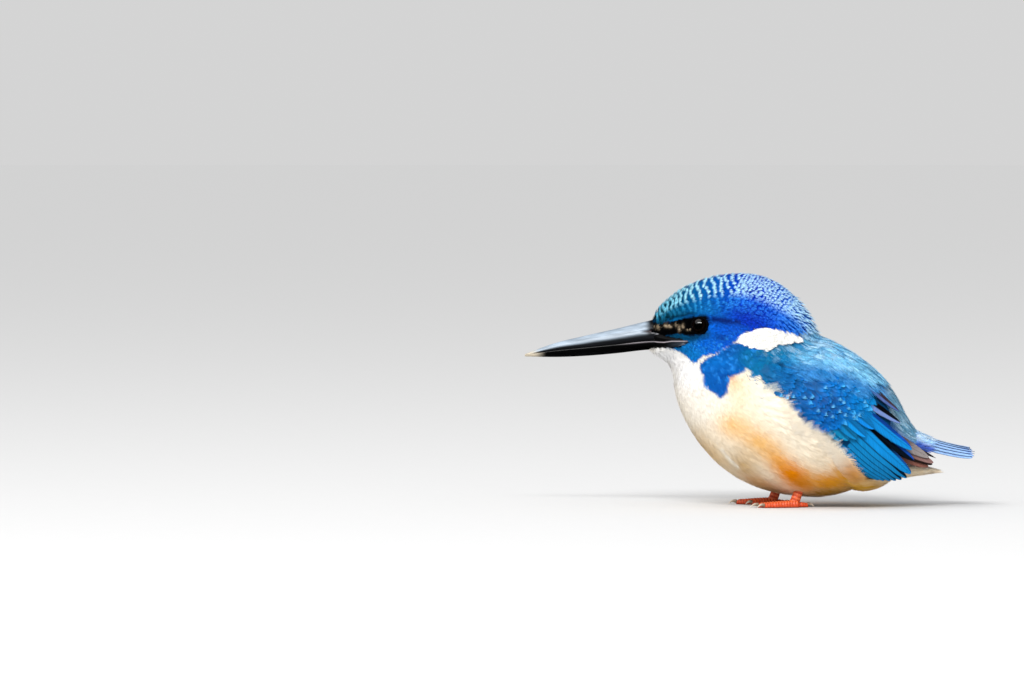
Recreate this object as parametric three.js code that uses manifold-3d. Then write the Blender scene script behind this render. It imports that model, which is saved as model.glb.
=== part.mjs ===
// Half-collared kingfisher, perched and fluffed up, as a life-size still model in one frame.
// Millimetres. +Z up, the bird looks along -Y, +X is its left side. The origin is on the
// floor, under the middle of the bird's box. The feathers are included in every outline.
import * as THREE from "three";
import Module from "manifold-3d";

const wasm = await Module();
wasm.setup();

// ---- Driving dimensions -------------------------------------------------------------------
const GAP = 0.3; // clearance between pieces that touch
const CUT = 0.15; // half the width of a cut that parts two pieces

const EYE_RADIUS = 3.6; // the whole ball, of which a disc 5.2 across shows
const EYE_DEPTH = 2.5; // the ball's centre below the plumage
const EYE_STATION = 3.54;
const EYE_ANGLE = 86.5;

const BILL_TIP_Y = -78.6;
const BILL_ROOT_Y = -28; // where the bill ends inside the head
const BILL_FACE_Y = -36; // where the bill leaves the feathers
const BILL_HALF_WIDTH = 4.2;

const TAIL_ROOT_Y = 52;
const TAIL_TIP_Y = 78.6;
const FLOOR = 0;

const LEG_X = 8.2; // distance of each foot from the middle plane
const LEFT_ANKLE_Y = 15.2;
const RIGHT_STEP = -6.8; // the right foot stands this much further forward

// ---- Stations along the body, from the bill to the root of the tail ------------------------
// Each ring runs through one point of the back's outline and one of the front's, as [y, z].
// half is its half width, egg shifts that width towards the back (+) or the belly (-), and
// pinch draws it in on the upper flank, where the head meets the shoulders.
const BODY = [
  { at: "bill base", back: [-35.0, 64.6], front: [-35.9, 54.4], half: 4.8, egg: 0, pinch: 0 },
  { at: "forehead", back: [-31.2, 70.3], front: [-32.6, 52.0], half: 7.0, egg: 0, pinch: 0 },
  { at: "brow", back: [-23.8, 76.4], front: [-28.8, 49.6], half: 9.4, egg: 0, pinch: 0 },
  { at: "fore crown", back: [-14.5, 80.2], front: [-27.0, 45.6], half: 11.5, egg: 0, pinch: 0 },
  { at: "crown", back: [-4.5, 81.7], front: [-26.5, 41.0], half: 13.3, egg: -0.05, pinch: 0 },
  { at: "hind crown", back: [5.8, 80.3], front: [-25.2, 36.0], half: 14.7, egg: -0.1, pinch: 0 },
  { at: "nape", back: [14.6, 74.9], front: [-22.9, 30.5], half: 16.1, egg: -0.16, pinch: 0.04 },
  { at: "nape tips", back: [20.8, 67.2], front: [-19.8, 25.0], half: 17.6, egg: -0.18, pinch: 0.1 },
  { at: "neck", back: [24.2, 60.4], front: [-15.7, 19.5], half: 19.0, egg: -0.14, pinch: 0.13 },
  { at: "mantle", back: [30.4, 57.3], front: [-9.6, 13.4], half: 20.4, egg: -0.07, pinch: 0.07 },
  { at: "back", back: [38.9, 52.0], front: [-2.2, 8.6], half: 21.2, egg: 0, pinch: 0.02 },
  { at: "lower back", back: [46.0, 46.0], front: [6.2, 5.3], half: 21.0, egg: 0, pinch: 0 },
  { at: "saddle", back: [51.4, 39.0], front: [16.0, 3.4], half: 19.2, egg: -0.04, pinch: 0 },
  { at: "rump", back: [55.2, 31.8], front: [27.2, 2.3], half: 16.0, egg: -0.08, pinch: 0 },
  { at: "tail coverts", back: [58.6, 26.8], front: [38.6, 4.6], half: 11.6, egg: -0.05, pinch: 0 },
  { at: "tail root", back: [61.4, 24.2], front: [48.0, 10.8], half: 7.0, egg: 0, pinch: 0 },
  { at: "end", back: [63.5, 22.6], front: [56.0, 16.4], half: 3.6, egg: 0, pinch: 0 },
];

// The folded wings lie on a hull a little wider than the body. Behind the saddle the hull
// leaves the body, because the quills run on past the rump, to the sides of the tail.
const WING_STANDS_PROUD = 2.0;
const HULL_BEHIND = {
  12: { back: [51.6, 39.2], front: [17.2, 2.4], half: 21.8, egg: -0.04, pinch: 0 },
  13: { back: [56.0, 32.8], front: [30.0, 1.6], half: 19.6, egg: -0.04, pinch: 0 },
  14: { back: [60.0, 27.6], front: [42.4, 3.4], half: 15.8, egg: 0, pinch: 0 },
  15: { back: [64.0, 22.8], front: [53.2, 6.6], half: 12.2, egg: 0, pinch: 0 },
  16: { back: [68.2, 18.2], front: [62.4, 10.4], half: 9.4, egg: 0, pinch: 0 },
};
const HULL = BODY.map((ring, k) => ({ ...ring, half: ring.half + WING_STANDS_PROUD, ...HULL_BEHIND[k] }));

// The wing's upper and lower edge on each ring of the hull, in degrees from the spine.
const WING_TOP = [90, 90, 90, 90, 88, 84, 74, 60, 48, 41, 37, 34, 33, 38, 52, 74, 92];
const WING_BOTTOM = [90, 90, 90, 90, 89, 88, 86, 87, 88, 88, 90, 94, 103, 115, 122, 120, 108];

// ---- Numbers along the stations -------------------------------------------------------------
// Catmull-Rom curve through evenly spaced values, carried on in a straight line past its ends.
function smooth(values, k) {
  const last = values.length - 1;
  const i = Math.min(Math.floor(Math.max(k, 0)), last - 1);
  const t = k - i;
  const value = (j) => {
    if (j < 0) return 2 * values[0] - values[1];
    return j > last ? 2 * values[last] - values[last - 1] : values[j];
  };
  const [a, b, c, d] = [value(i - 1), value(i), value(i + 1), value(i + 2)];
  return b + 0.5 * t * (c - a + t * (2 * a - 5 * b + 4 * c - d + t * (3 * b - a - 3 * c + d)));
}

// The ring at a fractional station of a table.
function ringAt(table, k) {
  const column = (read) => smooth(table.map(read), k);
  return {
    backY: column((r) => r.back[0]),
    backZ: column((r) => r.back[1]),
    frontY: column((r) => r.front[0]),
    frontZ: column((r) => r.front[1]),
    half: column((r) => r.half),
    egg: column((r) => r.egg),
    pinch: column((r) => r.pinch),
  };
}

// Every angle runs from 0 on the spine to 180 on the keel of the breast.
const PINCH_ANGLE = 58;
const PINCH_SPREAD = 30;

// A point on the ring at an angle from the spine, moved outwards by grow.
function onRing(ring, degrees, grow = 0) {
  const angle = THREE.MathUtils.degToRad(degrees);
  const up = Math.cos(angle);
  const halfY = (ring.backY - ring.frontY) / 2;
  const halfZ = (ring.backZ - ring.frontZ) / 2;
  const fromSpine = Math.min(degrees, 360 - degrees);
  const waist = 1 - ring.pinch * Math.exp(-(((fromSpine - PINCH_ANGLE) / PINCH_SPREAD) ** 2));
  const stretch = up * (1 + grow / Math.hypot(halfY, halfZ));
  return new THREE.Vector3(
    (ring.half + grow) * Math.sin(angle) * (1 + ring.egg * up) * waist,
    ring.backY - halfY + halfY * stretch,
    ring.backZ - halfZ + halfZ * stretch,
  );
}

// ---- Solids ---------------------------------------------------------------------------------
const steps = (count, from = 0, to = 1) =>
  Array.from({ length: count + 1 }, (_, i) => THREE.MathUtils.lerp(from, to, i / count));

// A closed solid through a row of closed rings with the same number of points.
function loft(rings) {
  const size = rings[0].length;
  const middle = (ring) => ring.reduce((sum, p) => sum.add(p), new THREE.Vector3()).divideScalar(size);
  const points = [...rings.flat(), middle(rings[0]), middle(rings[rings.length - 1])];
  const [first, last] = [points.length - 2, points.length - 1];
  const faces = [];
  rings.forEach((_, i) => {
    for (let j = 0; j < size; j++) {
      const [a, b] = [i * size + j, i * size + ((j + 1) % size)];
      if (i === 0) faces.push(first, b, a);
      if (i === rings.length - 1) faces.push(last, a, b);
      else faces.push(a, b, a + size, b, b + size, a + size);
    }
  });
  return solid(points, faces);
}

// A manifold solid from points and triangles, turned so that its faces point out.
function solid(points, faces) {
  const build = (triangles) =>
    new wasm.Manifold(
      new wasm.Mesh({
        numProp: 3,
        vertProperties: new Float32Array(points.flatMap((p) => p.toArray())),
        triVerts: new Uint32Array(triangles),
      }),
    );
  const made = build(faces);
  return made.volume() > 0 ? made : build(faces.toReversed());
}

// A solid from a three.js geometry class, at a place.
function fromGeometry(geometry, place) {
  const at = geometry.translate(place.x, place.y, place.z).getAttribute("position");
  const key = (p) => p.toArray().map((x) => Math.round(x * 1e4)).join();
  const points = [];
  const seen = new Map();
  const indexOf = Array.from({ length: at.count }, (_, i) => {
    const p = new THREE.Vector3().fromBufferAttribute(at, i);
    if (!seen.has(key(p))) seen.set(key(p), points.push(p) - 1);
    return seen.get(key(p));
  });
  const faces = [];
  const index = geometry.index.array;
  for (let i = 0; i < index.length; i += 3) {
    const [a, b, c] = [0, 1, 2].map((j) => indexOf[index[i + j]]);
    if (a !== b && b !== c && c !== a) faces.push(a, b, c);
  }
  return solid(points, faces);
}

const mirrored = (made) => made.mirror([1, 0, 0]);

// Parts a solid along the plane through two points of the middle plane. Returns the piece on
// the side that the line's left normal points to, and the other one, with a thin cut between.
function part(made, [y0, z0], [y1, z1]) {
  const normal = new THREE.Vector3(0, z0 - z1, y1 - y0).normalize();
  const offset = normal.y * y0 + normal.z * z0;
  const n = normal.toArray();
  const back = normal.clone().negate().toArray();
  return [made.trimByPlane(n, offset + CUT), made.trimByPlane(back, CUT - offset)];
}

// ---- Head, neck and trunk -------------------------------------------------------------------
const RING_STEPS = 32;
const RING_SIDES = 26;

function bodySolid(grow = 0) {
  return loft(
    steps(RING_STEPS, 0, BODY.length - 1).map((k) => {
      const ring = ringAt(BODY, k);
      return steps(RING_SIDES, 0, 360).slice(1).map((angle) => onRing(ring, angle, grow));
    }),
  );
}

// ---- Wings ----------------------------------------------------------------------------------
const STATION_LENGTH = 8; // about how far apart the rings are
const DEGREES_PER_MM = 3; // about how far 1 mm reaches round a ring

// A shell on the hull. start and end give its first and last station at b, which runs from 0
// at the upper edge to 1 at the lower one. outer and inner are depths below the hull.
function wingShell({ start, end, top, bottom, outer, inner, along, across }, grow = 0) {
  const point = (a, b, depth) => {
    const k = THREE.MathUtils.lerp(start(b) - grow / STATION_LENGTH, end(b) + grow / STATION_LENGTH, a);
    const angle = THREE.MathUtils.lerp(top(k) - DEGREES_PER_MM * grow, bottom(k) + DEGREES_PER_MM * grow, b);
    return onRing(ringAt(HULL, k), angle, grow - depth);
  };
  return loft(
    steps(along).map((a) => {
      const outside = steps(across).map((b) => point(a, b, outer(a, b)));
      const inside = steps(across, 1, 0).map((b) => point(a, b, inner(a, b) + 2 * grow));
      return [...outside, ...inside];
    }),
  );
}

const topEdge = (k) => smooth(WING_TOP, k);
const bottomEdge = (k) => smooth(WING_BOTTOM, k);
const crown = (b) => Math.sin(Math.PI * b); // 0 on both edges and 1 midway

// Arm and coverts: thickest in the middle, sunk level with the body at its front and edges.
const COVERTS = {
  start: () => 5.9,
  end: () => 11.6,
  top: topEdge,
  bottom: bottomEdge,
  outer: (a, b) => 1.5 - 1.5 * crown(b) ** 0.5 * Math.min(1, 3 * a),
  inner: (a, b) => 2.3 + 1.3 * crown(b),
  along: 9,
  across: 6,
};

// Tertials and secondaries: their tips step down and back from the rump to the flank.
const QUILLS = 9;
const QUILL_TIPS = [12.75, 13.5, 14.1, 14.6, 14.95, 15.05, 14.85, 14.3, 13.5];
const scallop = (b) => 0.16 * Math.abs(Math.sin(Math.PI * QUILLS * b));
const SECONDARIES = {
  start: () => 11.6 + GAP / STATION_LENGTH,
  end: (b) => smooth(QUILL_TIPS, b * (QUILL_TIPS.length - 1)) + scallop(b),
  top: topEdge,
  bottom: bottomEdge,
  outer: (a, b) => 0.5 - 0.5 * crown(b) ** 0.5 + 0.3 * a,
  inner: (a) => THREE.MathUtils.lerp(2.6, 1.3, a),
  along: 4,
  across: 18,
};

// Primaries: a narrow pack of stiff quills under the secondaries, with the tips showing.
const PRIMARIES = {
  start: () => 12.7,
  end: (b) => 16.0 - 1.1 * b,
  top: (k) => smooth([66, 76, 86, 92], k - 12.7),
  bottom: (k) => smooth([104, 108, 110, 106], k - 12.7),
  outer: (a) => THREE.MathUtils.lerp(3.1, 2.2, a),
  inner: (a) => THREE.MathUtils.lerp(4.5, 3.1, a),
  along: 5,
  across: 3,
};

// ---- Bill -----------------------------------------------------------------------------------
// Heights along the bill, from the feathers to the tip: ridge, cutting edge and keel.
const RIDGE_Z = [66.8, 64.7, 62.1, 59.7, 57.1, 53.2];
const EDGE_Z = [58.1, 57.8, 56.7, 55.6, 54.5, 52.9];
const KEEL_Z = [55.2, 54.7, 53.5, 52.6, 52.2, 52.4];

// Half a bill: a dome on the cutting edge, upwards for the ridge and downwards for the keel.
function billHalf(rim, grow) {
  const sides = 8;
  const arch = 0.75; // under 1 gives flat cheeks that meet in a narrow ridge
  const lift = rim === RIDGE_Z ? CUT : -CUT;
  return loft(
    steps(11).map((t) => {
      const y = THREE.MathUtils.lerp(BILL_ROOT_Y, BILL_TIP_Y, t);
      const out = Math.max(0, (BILL_FACE_Y - y) / (BILL_FACE_Y - BILL_TIP_Y));
      const k = 1 + 4 * out - Math.max(0, (y - BILL_FACE_Y) / 9);
      const edge = smooth(EDGE_Z, k) + lift;
      const height = smooth(rim, k) - edge + grow * Math.sign(lift);
      const half = BILL_HALF_WIDTH * (1 - out) ** 0.85 + 0.35 + grow;
      const dome = steps(sides, 0, 180).map((degrees) => {
        const angle = THREE.MathUtils.degToRad(degrees);
        const x = half * Math.sign(Math.cos(angle)) * Math.abs(Math.cos(angle)) ** (1 / arch);
        return new THREE.Vector3(x, y, edge + height * Math.max(0.02, Math.sin(angle) ** arch));
      });
      return [...dome, new THREE.Vector3(0, y, edge - grow * Math.sign(lift))];
    }),
  );
}

// ---- Tail -----------------------------------------------------------------------------------
// A shallow arch of quills. side runs from -1 to 1 across it.
function tailSolid() {
  const point = (t, side, above) => {
    const y = THREE.MathUtils.lerp(TAIL_ROOT_Y, TAIL_TIP_Y - 2.6 * side ** 2, t);
    const middle = smooth([29.6, 26.1, 23.0, 20.4, 18.2], 4 * t);
    const half = THREE.MathUtils.lerp(5, 8, t ** 0.8);
    const droop = THREE.MathUtils.lerp(5.4, 1.3, t) * side ** 2;
    const thick = THREE.MathUtils.lerp(2.2, 0.9, t);
    return new THREE.Vector3(half * side, y, middle - droop - (above ? 0 : thick));
  };
  return loft(
    steps(8).map((t) => [
      ...steps(8, -1, 1).map((side) => point(t, side, true)),
      ...steps(8, 1, -1).map((side) => point(t, side, false)),
    ]),
  );
}

// Soft feathers under the tail, a tapered body from the vent to a blunt point.
function undertailSolid() {
  const [root, tip] = [46, 67.2];
  return loft(
    steps(8).map((t) => {
      const fall = Math.sqrt(1 - 0.97 * t ** 2);
      const halfX = 6.4 * fall;
      const halfZ = 3.6 * fall * (1 - 0.45 * t);
      const centre = new THREE.Vector3(0, THREE.MathUtils.lerp(root, tip, t), 13.2 - 0.6 * t);
      return steps(12, 0, 360).slice(1).map((degrees) => {
        const angle = THREE.MathUtils.degToRad(degrees);
        const out = new THREE.Vector3(halfX * Math.cos(angle), 0, halfZ * Math.sin(angle));
        return centre.clone().add(out);
      });
    }),
  );
}

// ---- Legs -----------------------------------------------------------------------------------
const SOLE = { sides: 8, clip: 0.45 };

// A tapered rod lying on the floor, flat underneath, through points [x, y, half width, height].
function toe(path) {
  const count = path.length - 1;
  return loft(
    steps(2 * count, 0, count).map((k) => {
      const [x, y, half, height] = [0, 1, 2, 3].map((i) => smooth(path.map((p) => p[i]), k));
      const [dx, dy] = [0, 1].map((i) => smooth(path.map((p) => p[i]), k + 0.1) - (i ? y : x));
      const side = new THREE.Vector3(-dy, dx, 0).normalize();
      return steps(SOLE.sides, 0, 360).slice(1).map((degrees) => {
        const angle = THREE.MathUtils.degToRad(degrees);
        const z = Math.max(0, (Math.sin(angle) + SOLE.clip) / (1 + SOLE.clip));
        return new THREE.Vector3(x, y, FLOOR + height * z).addScaledVector(side, half * Math.cos(angle));
      });
    }),
  );
}

// A curved, pointed claw that goes on from the end of a toe and comes down to the floor.
function claw([x, y], [dx, dy], length) {
  const along = new THREE.Vector2(dx, dy).normalize();
  return loft(
    steps(4).map((t) => {
      const reach = GAP + length * t;
      const half = 0.62 * (1 - t) ** 0.8 + 0.12;
      const middle = THREE.MathUtils.lerp(0.95, half, t ** 1.6) + 0.25 * Math.sin(Math.PI * t);
      return steps(6, 0, 360).slice(1).map((degrees) => {
        const angle = THREE.MathUtils.degToRad(degrees);
        const out = half * Math.cos(angle);
        return new THREE.Vector3(
          x + along.x * reach - along.y * out,
          y + along.y * reach + along.x * out,
          FLOOR + middle + half * Math.sin(angle),
        );
      });
    }),
  );
}

// Toes of a left foot about its ankle: the three front ones side by side, joined for most of
// their length, and the hind one. Each has its path and the length of its claw.
const TOES = {
  outer: { path: [[1.0, 1.4, 1.2, 2.3], [2.3, -4.6, 1.15, 1.9], [3.6, -10.6, 0.8, 1.5]], claw: 2.2 },
  middle: { path: [[0.2, 1.2, 1.3, 2.4], [0.5, -6.0, 1.15, 1.9], [1.5, -12.6, 0.8, 1.5]], claw: 2.6 },
  inner: { path: [[-0.6, 1.2, 1.2, 2.3], [-1.5, -3.4, 1.05, 1.8], [-2.4, -7.4, 0.75, 1.45]], claw: 2.0 },
  hind: { path: [[0, -0.8, 1.3, 2.3], [-0.5, 2.4, 1.1, 1.9], [-1.2, 5.0, 0.8, 1.5]], claw: 2.1 },
};
const ANKLE_Z = 3.0;

// The bare part of the leg, leaning back and up into the belly.
function tarsusRod(x, y, grow = 0) {
  return loft(
    steps(4).map((t) => {
      const centre = new THREE.Vector3(x - 0.4 * t, y + 0.1 + 3.4 * t, 1.4 + 8.6 * t);
      const radius = THREE.MathUtils.lerp(1.5, 1.35, Math.sin(Math.PI * t)) + grow;
      return steps(10, 0, 360).slice(1).map((degrees) => {
        const angle = THREE.MathUtils.degToRad(degrees);
        const out = new THREE.Vector3(Math.cos(angle), Math.sin(angle), -0.35 * Math.sin(angle));
        return centre.clone().addScaledVector(out, radius);
      });
    }),
  );
}

// One leg as { tarsus, foot, claw_NAME... }; side is 1 for the left and -1 for the right.
function legPieces(side, ankleY) {
  const ankleX = side * LEG_X;
  const pieces = {};
  let whole = tarsusRod(ankleX, ankleY);
  for (const [name, { path, claw: length }] of Object.entries(TOES)) {
    const placed = path.map(([x, y, half, height]) => [ankleX + side * x, ankleY + y, half, height]);
    const [[x0, y0], [x1, y1]] = placed.slice(-2);
    whole = whole.add(toe(placed));
    pieces[`claw_${name}`] = claw([x1, y1], [x1 - x0, y1 - y0], length);
  }
  [pieces.tarsus, pieces.foot] = part(whole, [ankleY - 9, ANKLE_Z], [ankleY + 9, ANKLE_Z + 0.6]);
  return pieces;
}

// ---- Assembly -------------------------------------------------------------------------------
const material = (name, color, roughness) =>
  new THREE.MeshStandardMaterial({ name, color, roughness, metalness: 0 });
const FINISH = {
  crown: material("crown_feathers", 0x1c50c8, 0.6),
  throat: material("neck_feathers", 0xe9dcc4, 0.75),
  belly: material("belly_feathers", 0xf0cf96, 0.8),
  rump: material("rump_feathers", 0x4a86e8, 0.6),
  back: material("back_feathers", 0x1277bd, 0.55),
  quill: material("quill_feathers", 0x0e6ea8, 0.5),
  primary: material("primary_feathers", 0x5a4440, 0.6),
  vent: material("vent_feathers", 0xecd9ae, 0.8),
  bill: material("bill_horn", 0x17181c, 0.3),
  eye: material("eye", 0x0b0605, 0.05),
  foot: material("foot_skin", 0xe8501f, 0.5),
  claw: material("claw_horn", 0xb9a288, 0.4),
};

const bird = new THREE.Group();

// Adds a solid to the bird as one named mesh.
function add(name, made, finish) {
  const { numProp, vertProperties, triVerts } = made.getMesh();
  const positions = new Float32Array((vertProperties.length / numProp) * 3);
  positions.forEach((_, i) => {
    positions[i] = vertProperties[Math.floor(i / 3) * numProp + (i % 3)];
  });
  const geometry = new THREE.BufferGeometry()
    .setAttribute("position", new THREE.BufferAttribute(positions, 3))
    .setIndex(new THREE.BufferAttribute(triVerts, 1));
  geometry.computeVertexNormals();
  const mesh = new THREE.Mesh(geometry, finish);
  mesh.name = name;
  bird.add(mesh);
}

// Adds a piece of the left side and its mirror image on the right.
function addPair(name, made, finish) {
  add(`${name}_left`, made, finish);
  add(`${name}_right`, mirrored(made), finish);
}

const eyeRing = ringAt(BODY, EYE_STATION);
const eyeCentre = onRing(eyeRing, EYE_ANGLE, -EYE_DEPTH);
const eyeBall = (radius) => fromGeometry(new THREE.SphereGeometry(radius, 14, 9), eyeCentre);

const coverts = wingShell(COVERTS);
const secondaries = wingShell(SECONDARIES);
const primaries = wingShell(PRIMARIES);
const legs = {
  left: legPieces(1, LEFT_ANKLE_Y),
  right: legPieces(-1, LEFT_ANKLE_Y + RIGHT_STEP),
};

// The body is made whole, hollowed where other pieces sit in it, and parted by thin cuts.
let body = bodySolid();
for (const cutter of [
  wingShell(COVERTS, GAP),
  wingShell(SECONDARIES, GAP),
  wingShell(PRIMARIES, GAP),
  eyeBall(EYE_RADIUS + GAP),
]) {
  body = body.subtract(cutter).subtract(mirrored(cutter));
}
for (const rim of [RIDGE_Z, KEEL_Z]) body = body.subtract(billHalf(rim, GAP));
body = body.subtract(tarsusRod(LEG_X, LEFT_ANKLE_Y, GAP));
body = body.subtract(tarsusRod(-LEG_X, LEFT_ANKLE_Y + RIGHT_STEP, GAP));

const [head, belowHead] = part(body, [-28.2, 48.4], [24.0, 60.6]);
const [neck, trunkAndRump] = part(belowHead, [-27.5, 39.0], [30.2, 57.6]);
const [rump, trunk] = part(trunkAndRump, [53.0, 37.0], [26.0, 2.0]);
const [back, belly] = part(trunk, [20.4, 46.3], [42.5, 30.1]);

add("head", head, FINISH.crown);
add("neck", neck, FINISH.throat);
add("back", back, FINISH.back);
add("trunk", belly, FINISH.belly);
add("rump", rump, FINISH.rump);
add("bill_upper", billHalf(RIDGE_Z, 0), FINISH.bill);
add("bill_lower", billHalf(KEEL_Z, 0), FINISH.bill);
addPair("eye", eyeBall(EYE_RADIUS), FINISH.eye);
addPair("wing", coverts, FINISH.back);
addPair("secondaries", secondaries, FINISH.quill);
addPair("primaries", primaries, FINISH.primary);

const roomForBody = bodySolid(GAP);
add("tail", tailSolid().subtract(roomForBody), FINISH.rump);
add("undertail_coverts", undertailSolid().subtract(roomForBody), FINISH.vent);

for (const [side, pieces] of Object.entries(legs)) {
  for (const [name, made] of Object.entries(pieces)) {
    const finish = name.startsWith("claw") ? FINISH.claw : FINISH.foot;
    add(`${name}_${side}`, made, finish);
  }
}

export default bird;
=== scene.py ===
"""Half-collared kingfisher, life size, as a still model on a plain pale floor.

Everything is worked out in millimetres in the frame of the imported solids: +Z up, the bird looks
along -Y and +X is its left side. Meshes are turned to metres as they are made. One skin carries
the body, and its plumage is solid mesh: tufts of tapered barbs where the feathers are loose, and
cambered quills on the wings and tail.
"""

from __future__ import annotations

import logging
from dataclasses import dataclass, field, fields, replace
from enum import Enum, IntEnum
from typing import Callable

import bpy
import numpy as np
from mathutils import Matrix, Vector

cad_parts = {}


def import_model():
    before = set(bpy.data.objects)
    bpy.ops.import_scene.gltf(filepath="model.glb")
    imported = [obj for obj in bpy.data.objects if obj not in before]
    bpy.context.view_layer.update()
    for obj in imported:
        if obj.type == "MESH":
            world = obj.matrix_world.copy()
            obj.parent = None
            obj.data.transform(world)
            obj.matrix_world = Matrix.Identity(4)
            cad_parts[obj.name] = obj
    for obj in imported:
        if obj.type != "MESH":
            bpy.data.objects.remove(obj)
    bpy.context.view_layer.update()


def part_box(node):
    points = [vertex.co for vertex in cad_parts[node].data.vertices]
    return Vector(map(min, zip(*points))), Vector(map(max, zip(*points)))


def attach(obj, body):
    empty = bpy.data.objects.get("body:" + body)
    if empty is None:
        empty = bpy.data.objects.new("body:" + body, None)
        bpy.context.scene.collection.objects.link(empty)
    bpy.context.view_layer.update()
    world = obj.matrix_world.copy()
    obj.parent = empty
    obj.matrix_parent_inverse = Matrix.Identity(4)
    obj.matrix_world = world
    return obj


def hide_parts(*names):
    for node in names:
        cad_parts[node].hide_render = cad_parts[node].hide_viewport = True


Array = np.ndarray
Path = tuple[tuple[float, float], ...]
Span = tuple[float, float]
Rng = np.random.Generator
Block = tuple[Array, list[Array], Array]  # points, faces and tints
Table = tuple[float, ...]
LOG = logging.getLogger("kingfisher")
MM = 0.001
SIDES = (("left", 1), ("right", -1))


class Seed(IntEnum):
    """Seeds of the random numbers, one for each tract."""

    SKIN, WING_SKIN, HEAD, CROWN, FACE = 3, 5, 11, 12, 13
    FRONT, BACK, QUILLS, COVERTS, TAIL = 23, 31, 41, 53, 67


# ---- Small maths ----
def linear(code: str) -> Array:
    """Turns an sRGB hex colour such as "#1260c0" to linear red, green and blue."""
    parts = np.array([int(code[i : i + 2], 16) for i in (1, 3, 5)]) / 255
    return np.where(parts <= 0.04045, parts / 12.92, ((parts + 0.055) / 1.055) ** 2.4)


def ease(x: Array, low: float, high: float) -> Array:
    """Goes smoothly from 0 where x is low to 1 where x is high: 3t^2 - 2t^3."""
    t = np.clip((x - low) / (high - low), 0, 1)
    return t * t * (3 - 2 * t)


def bump(x: Array, middle: float, spread: float) -> Array:
    """A soft bump along a line: exp(-((x - middle) / spread)^2)."""
    return np.exp(-(((x - middle) / spread) ** 2))


def flat(code: str, shape: tuple[int, ...]) -> Array:
    """One hex colour for a whole array of places."""
    return np.broadcast_to(linear(code), (*shape, 3))


def over(base: Array, paint: str | Array, weight: Array | float) -> Array:
    """Mixes a colour over others.

    Args:
        base: linear colours, (..., 3).
        paint: a hex colour or linear colours.
        weight: how much of the paint shows, from 0 to 1.

    Returns:
        The mixed colours.
    """
    top = linear(paint) if isinstance(paint, str) else paint
    return base + (top - base) * np.clip(weight, 0, 1)[..., None]


def ramp(t: Array, stops: tuple[tuple[float, str], ...]) -> Array:
    """Blends hex colours placed at rising numbers along a line."""
    colours = np.array([linear(code) for _, code in stops])
    return np.stack([np.interp(t, [at for at, _ in stops], channel) for channel in colours.T], -1)


def unit(v: Array) -> Array:
    """Scales vectors to length 1."""
    return v / np.maximum(np.linalg.norm(v, axis=-1, keepdims=True), 1e-12)


def dot(a: Array, b: Array) -> Array:
    """Scalar products along the last axis."""
    return (a * b).sum(-1)


def through(rows: Array, k: Array) -> Array:
    """Catmull-Rom curve through evenly spaced rows.

    Args:
        rows: the rows, (n, c).
        k: fractional row numbers, of any shape.

    Returns:
        The values at k, with c as the last axis.
    """
    last = len(rows) - 1
    ends = np.vstack([2 * rows[0] - rows[1], rows, 2 * rows[last] - rows[last - 1]])
    i = np.clip(np.floor(k), 0, last - 1).astype(int)
    t = (k - i)[..., None]
    a, b, c, d = (ends[i + j] for j in range(4))
    return b + 0.5 * t * (c - a + t * (2 * a - 5 * b + 4 * c - d + t * (3 * b - a - 3 * c + d)))


def curve(values: tuple[float, ...], k: Array | float) -> Array:
    """The same curve through single numbers."""
    return through(np.array(values, float)[:, None], np.asarray(k, float))[..., 0]


def mix(a: float, b: float, t: float | Array) -> float | Array:
    """The number a share t of the way from a to b."""
    return a + (b - a) * t


def around_ring(count: int) -> Array:
    """Evenly spaced angles of a full turn, in radians."""
    return np.linspace(0, 2 * np.pi, count, endpoint=False)


def to_left(x: Array) -> Array:
    """Multipliers that mirror points whose x is negative onto the left side."""
    return np.where(x < 0, [-1, 1, 1], 1)


# ---- The body's form ----
# Rings from the bill to the tail: back y, back z, front y, front z, half width, egg and pinch.
BODY_RINGS = np.array(
    [
        [-35.0, 64.6, -35.9, 54.4, 4.8, 0.0, 0.0],  # bill base
        [-31.2, 70.3, -32.6, 52.0, 7.0, 0.0, 0.0],  # forehead
        [-23.8, 76.4, -28.8, 49.6, 9.4, 0.0, 0.0],  # brow
        [-14.5, 80.2, -27.0, 45.6, 11.5, 0.0, 0.0],  # fore crown
        [-4.5, 81.7, -26.5, 41.0, 13.3, -0.05, 0.0],  # crown
        [5.8, 80.3, -25.2, 36.0, 14.7, -0.1, 0.0],  # hind crown
        [14.6, 74.9, -22.9, 30.5, 16.1, -0.16, 0.04],  # nape
        [20.8, 67.2, -19.8, 25.0, 17.6, -0.18, 0.1],  # nape tips
        [24.2, 60.4, -15.7, 19.5, 19.0, -0.14, 0.13],  # neck
        [30.4, 57.3, -9.6, 13.4, 20.4, -0.07, 0.07],  # mantle
        [38.9, 52.0, -2.2, 8.6, 21.2, 0.0, 0.02],  # back
        [46.0, 46.0, 6.2, 5.3, 21.0, 0.0, 0.0],  # lower back
        [51.4, 39.0, 16.0, 3.4, 19.2, -0.04, 0.0],  # saddle
        [55.2, 31.8, 27.2, 2.3, 16.0, -0.08, 0.0],  # rump
        [58.6, 26.8, 38.6, 4.6, 11.6, -0.05, 0.0],  # tail coverts
        [61.4, 24.2, 48.0, 10.8, 7.0, 0.0, 0.0],  # tail root
        [63.5, 22.6, 56.0, 16.4, 3.6, 0.0, 0.0],  # end
    ]
)
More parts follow.
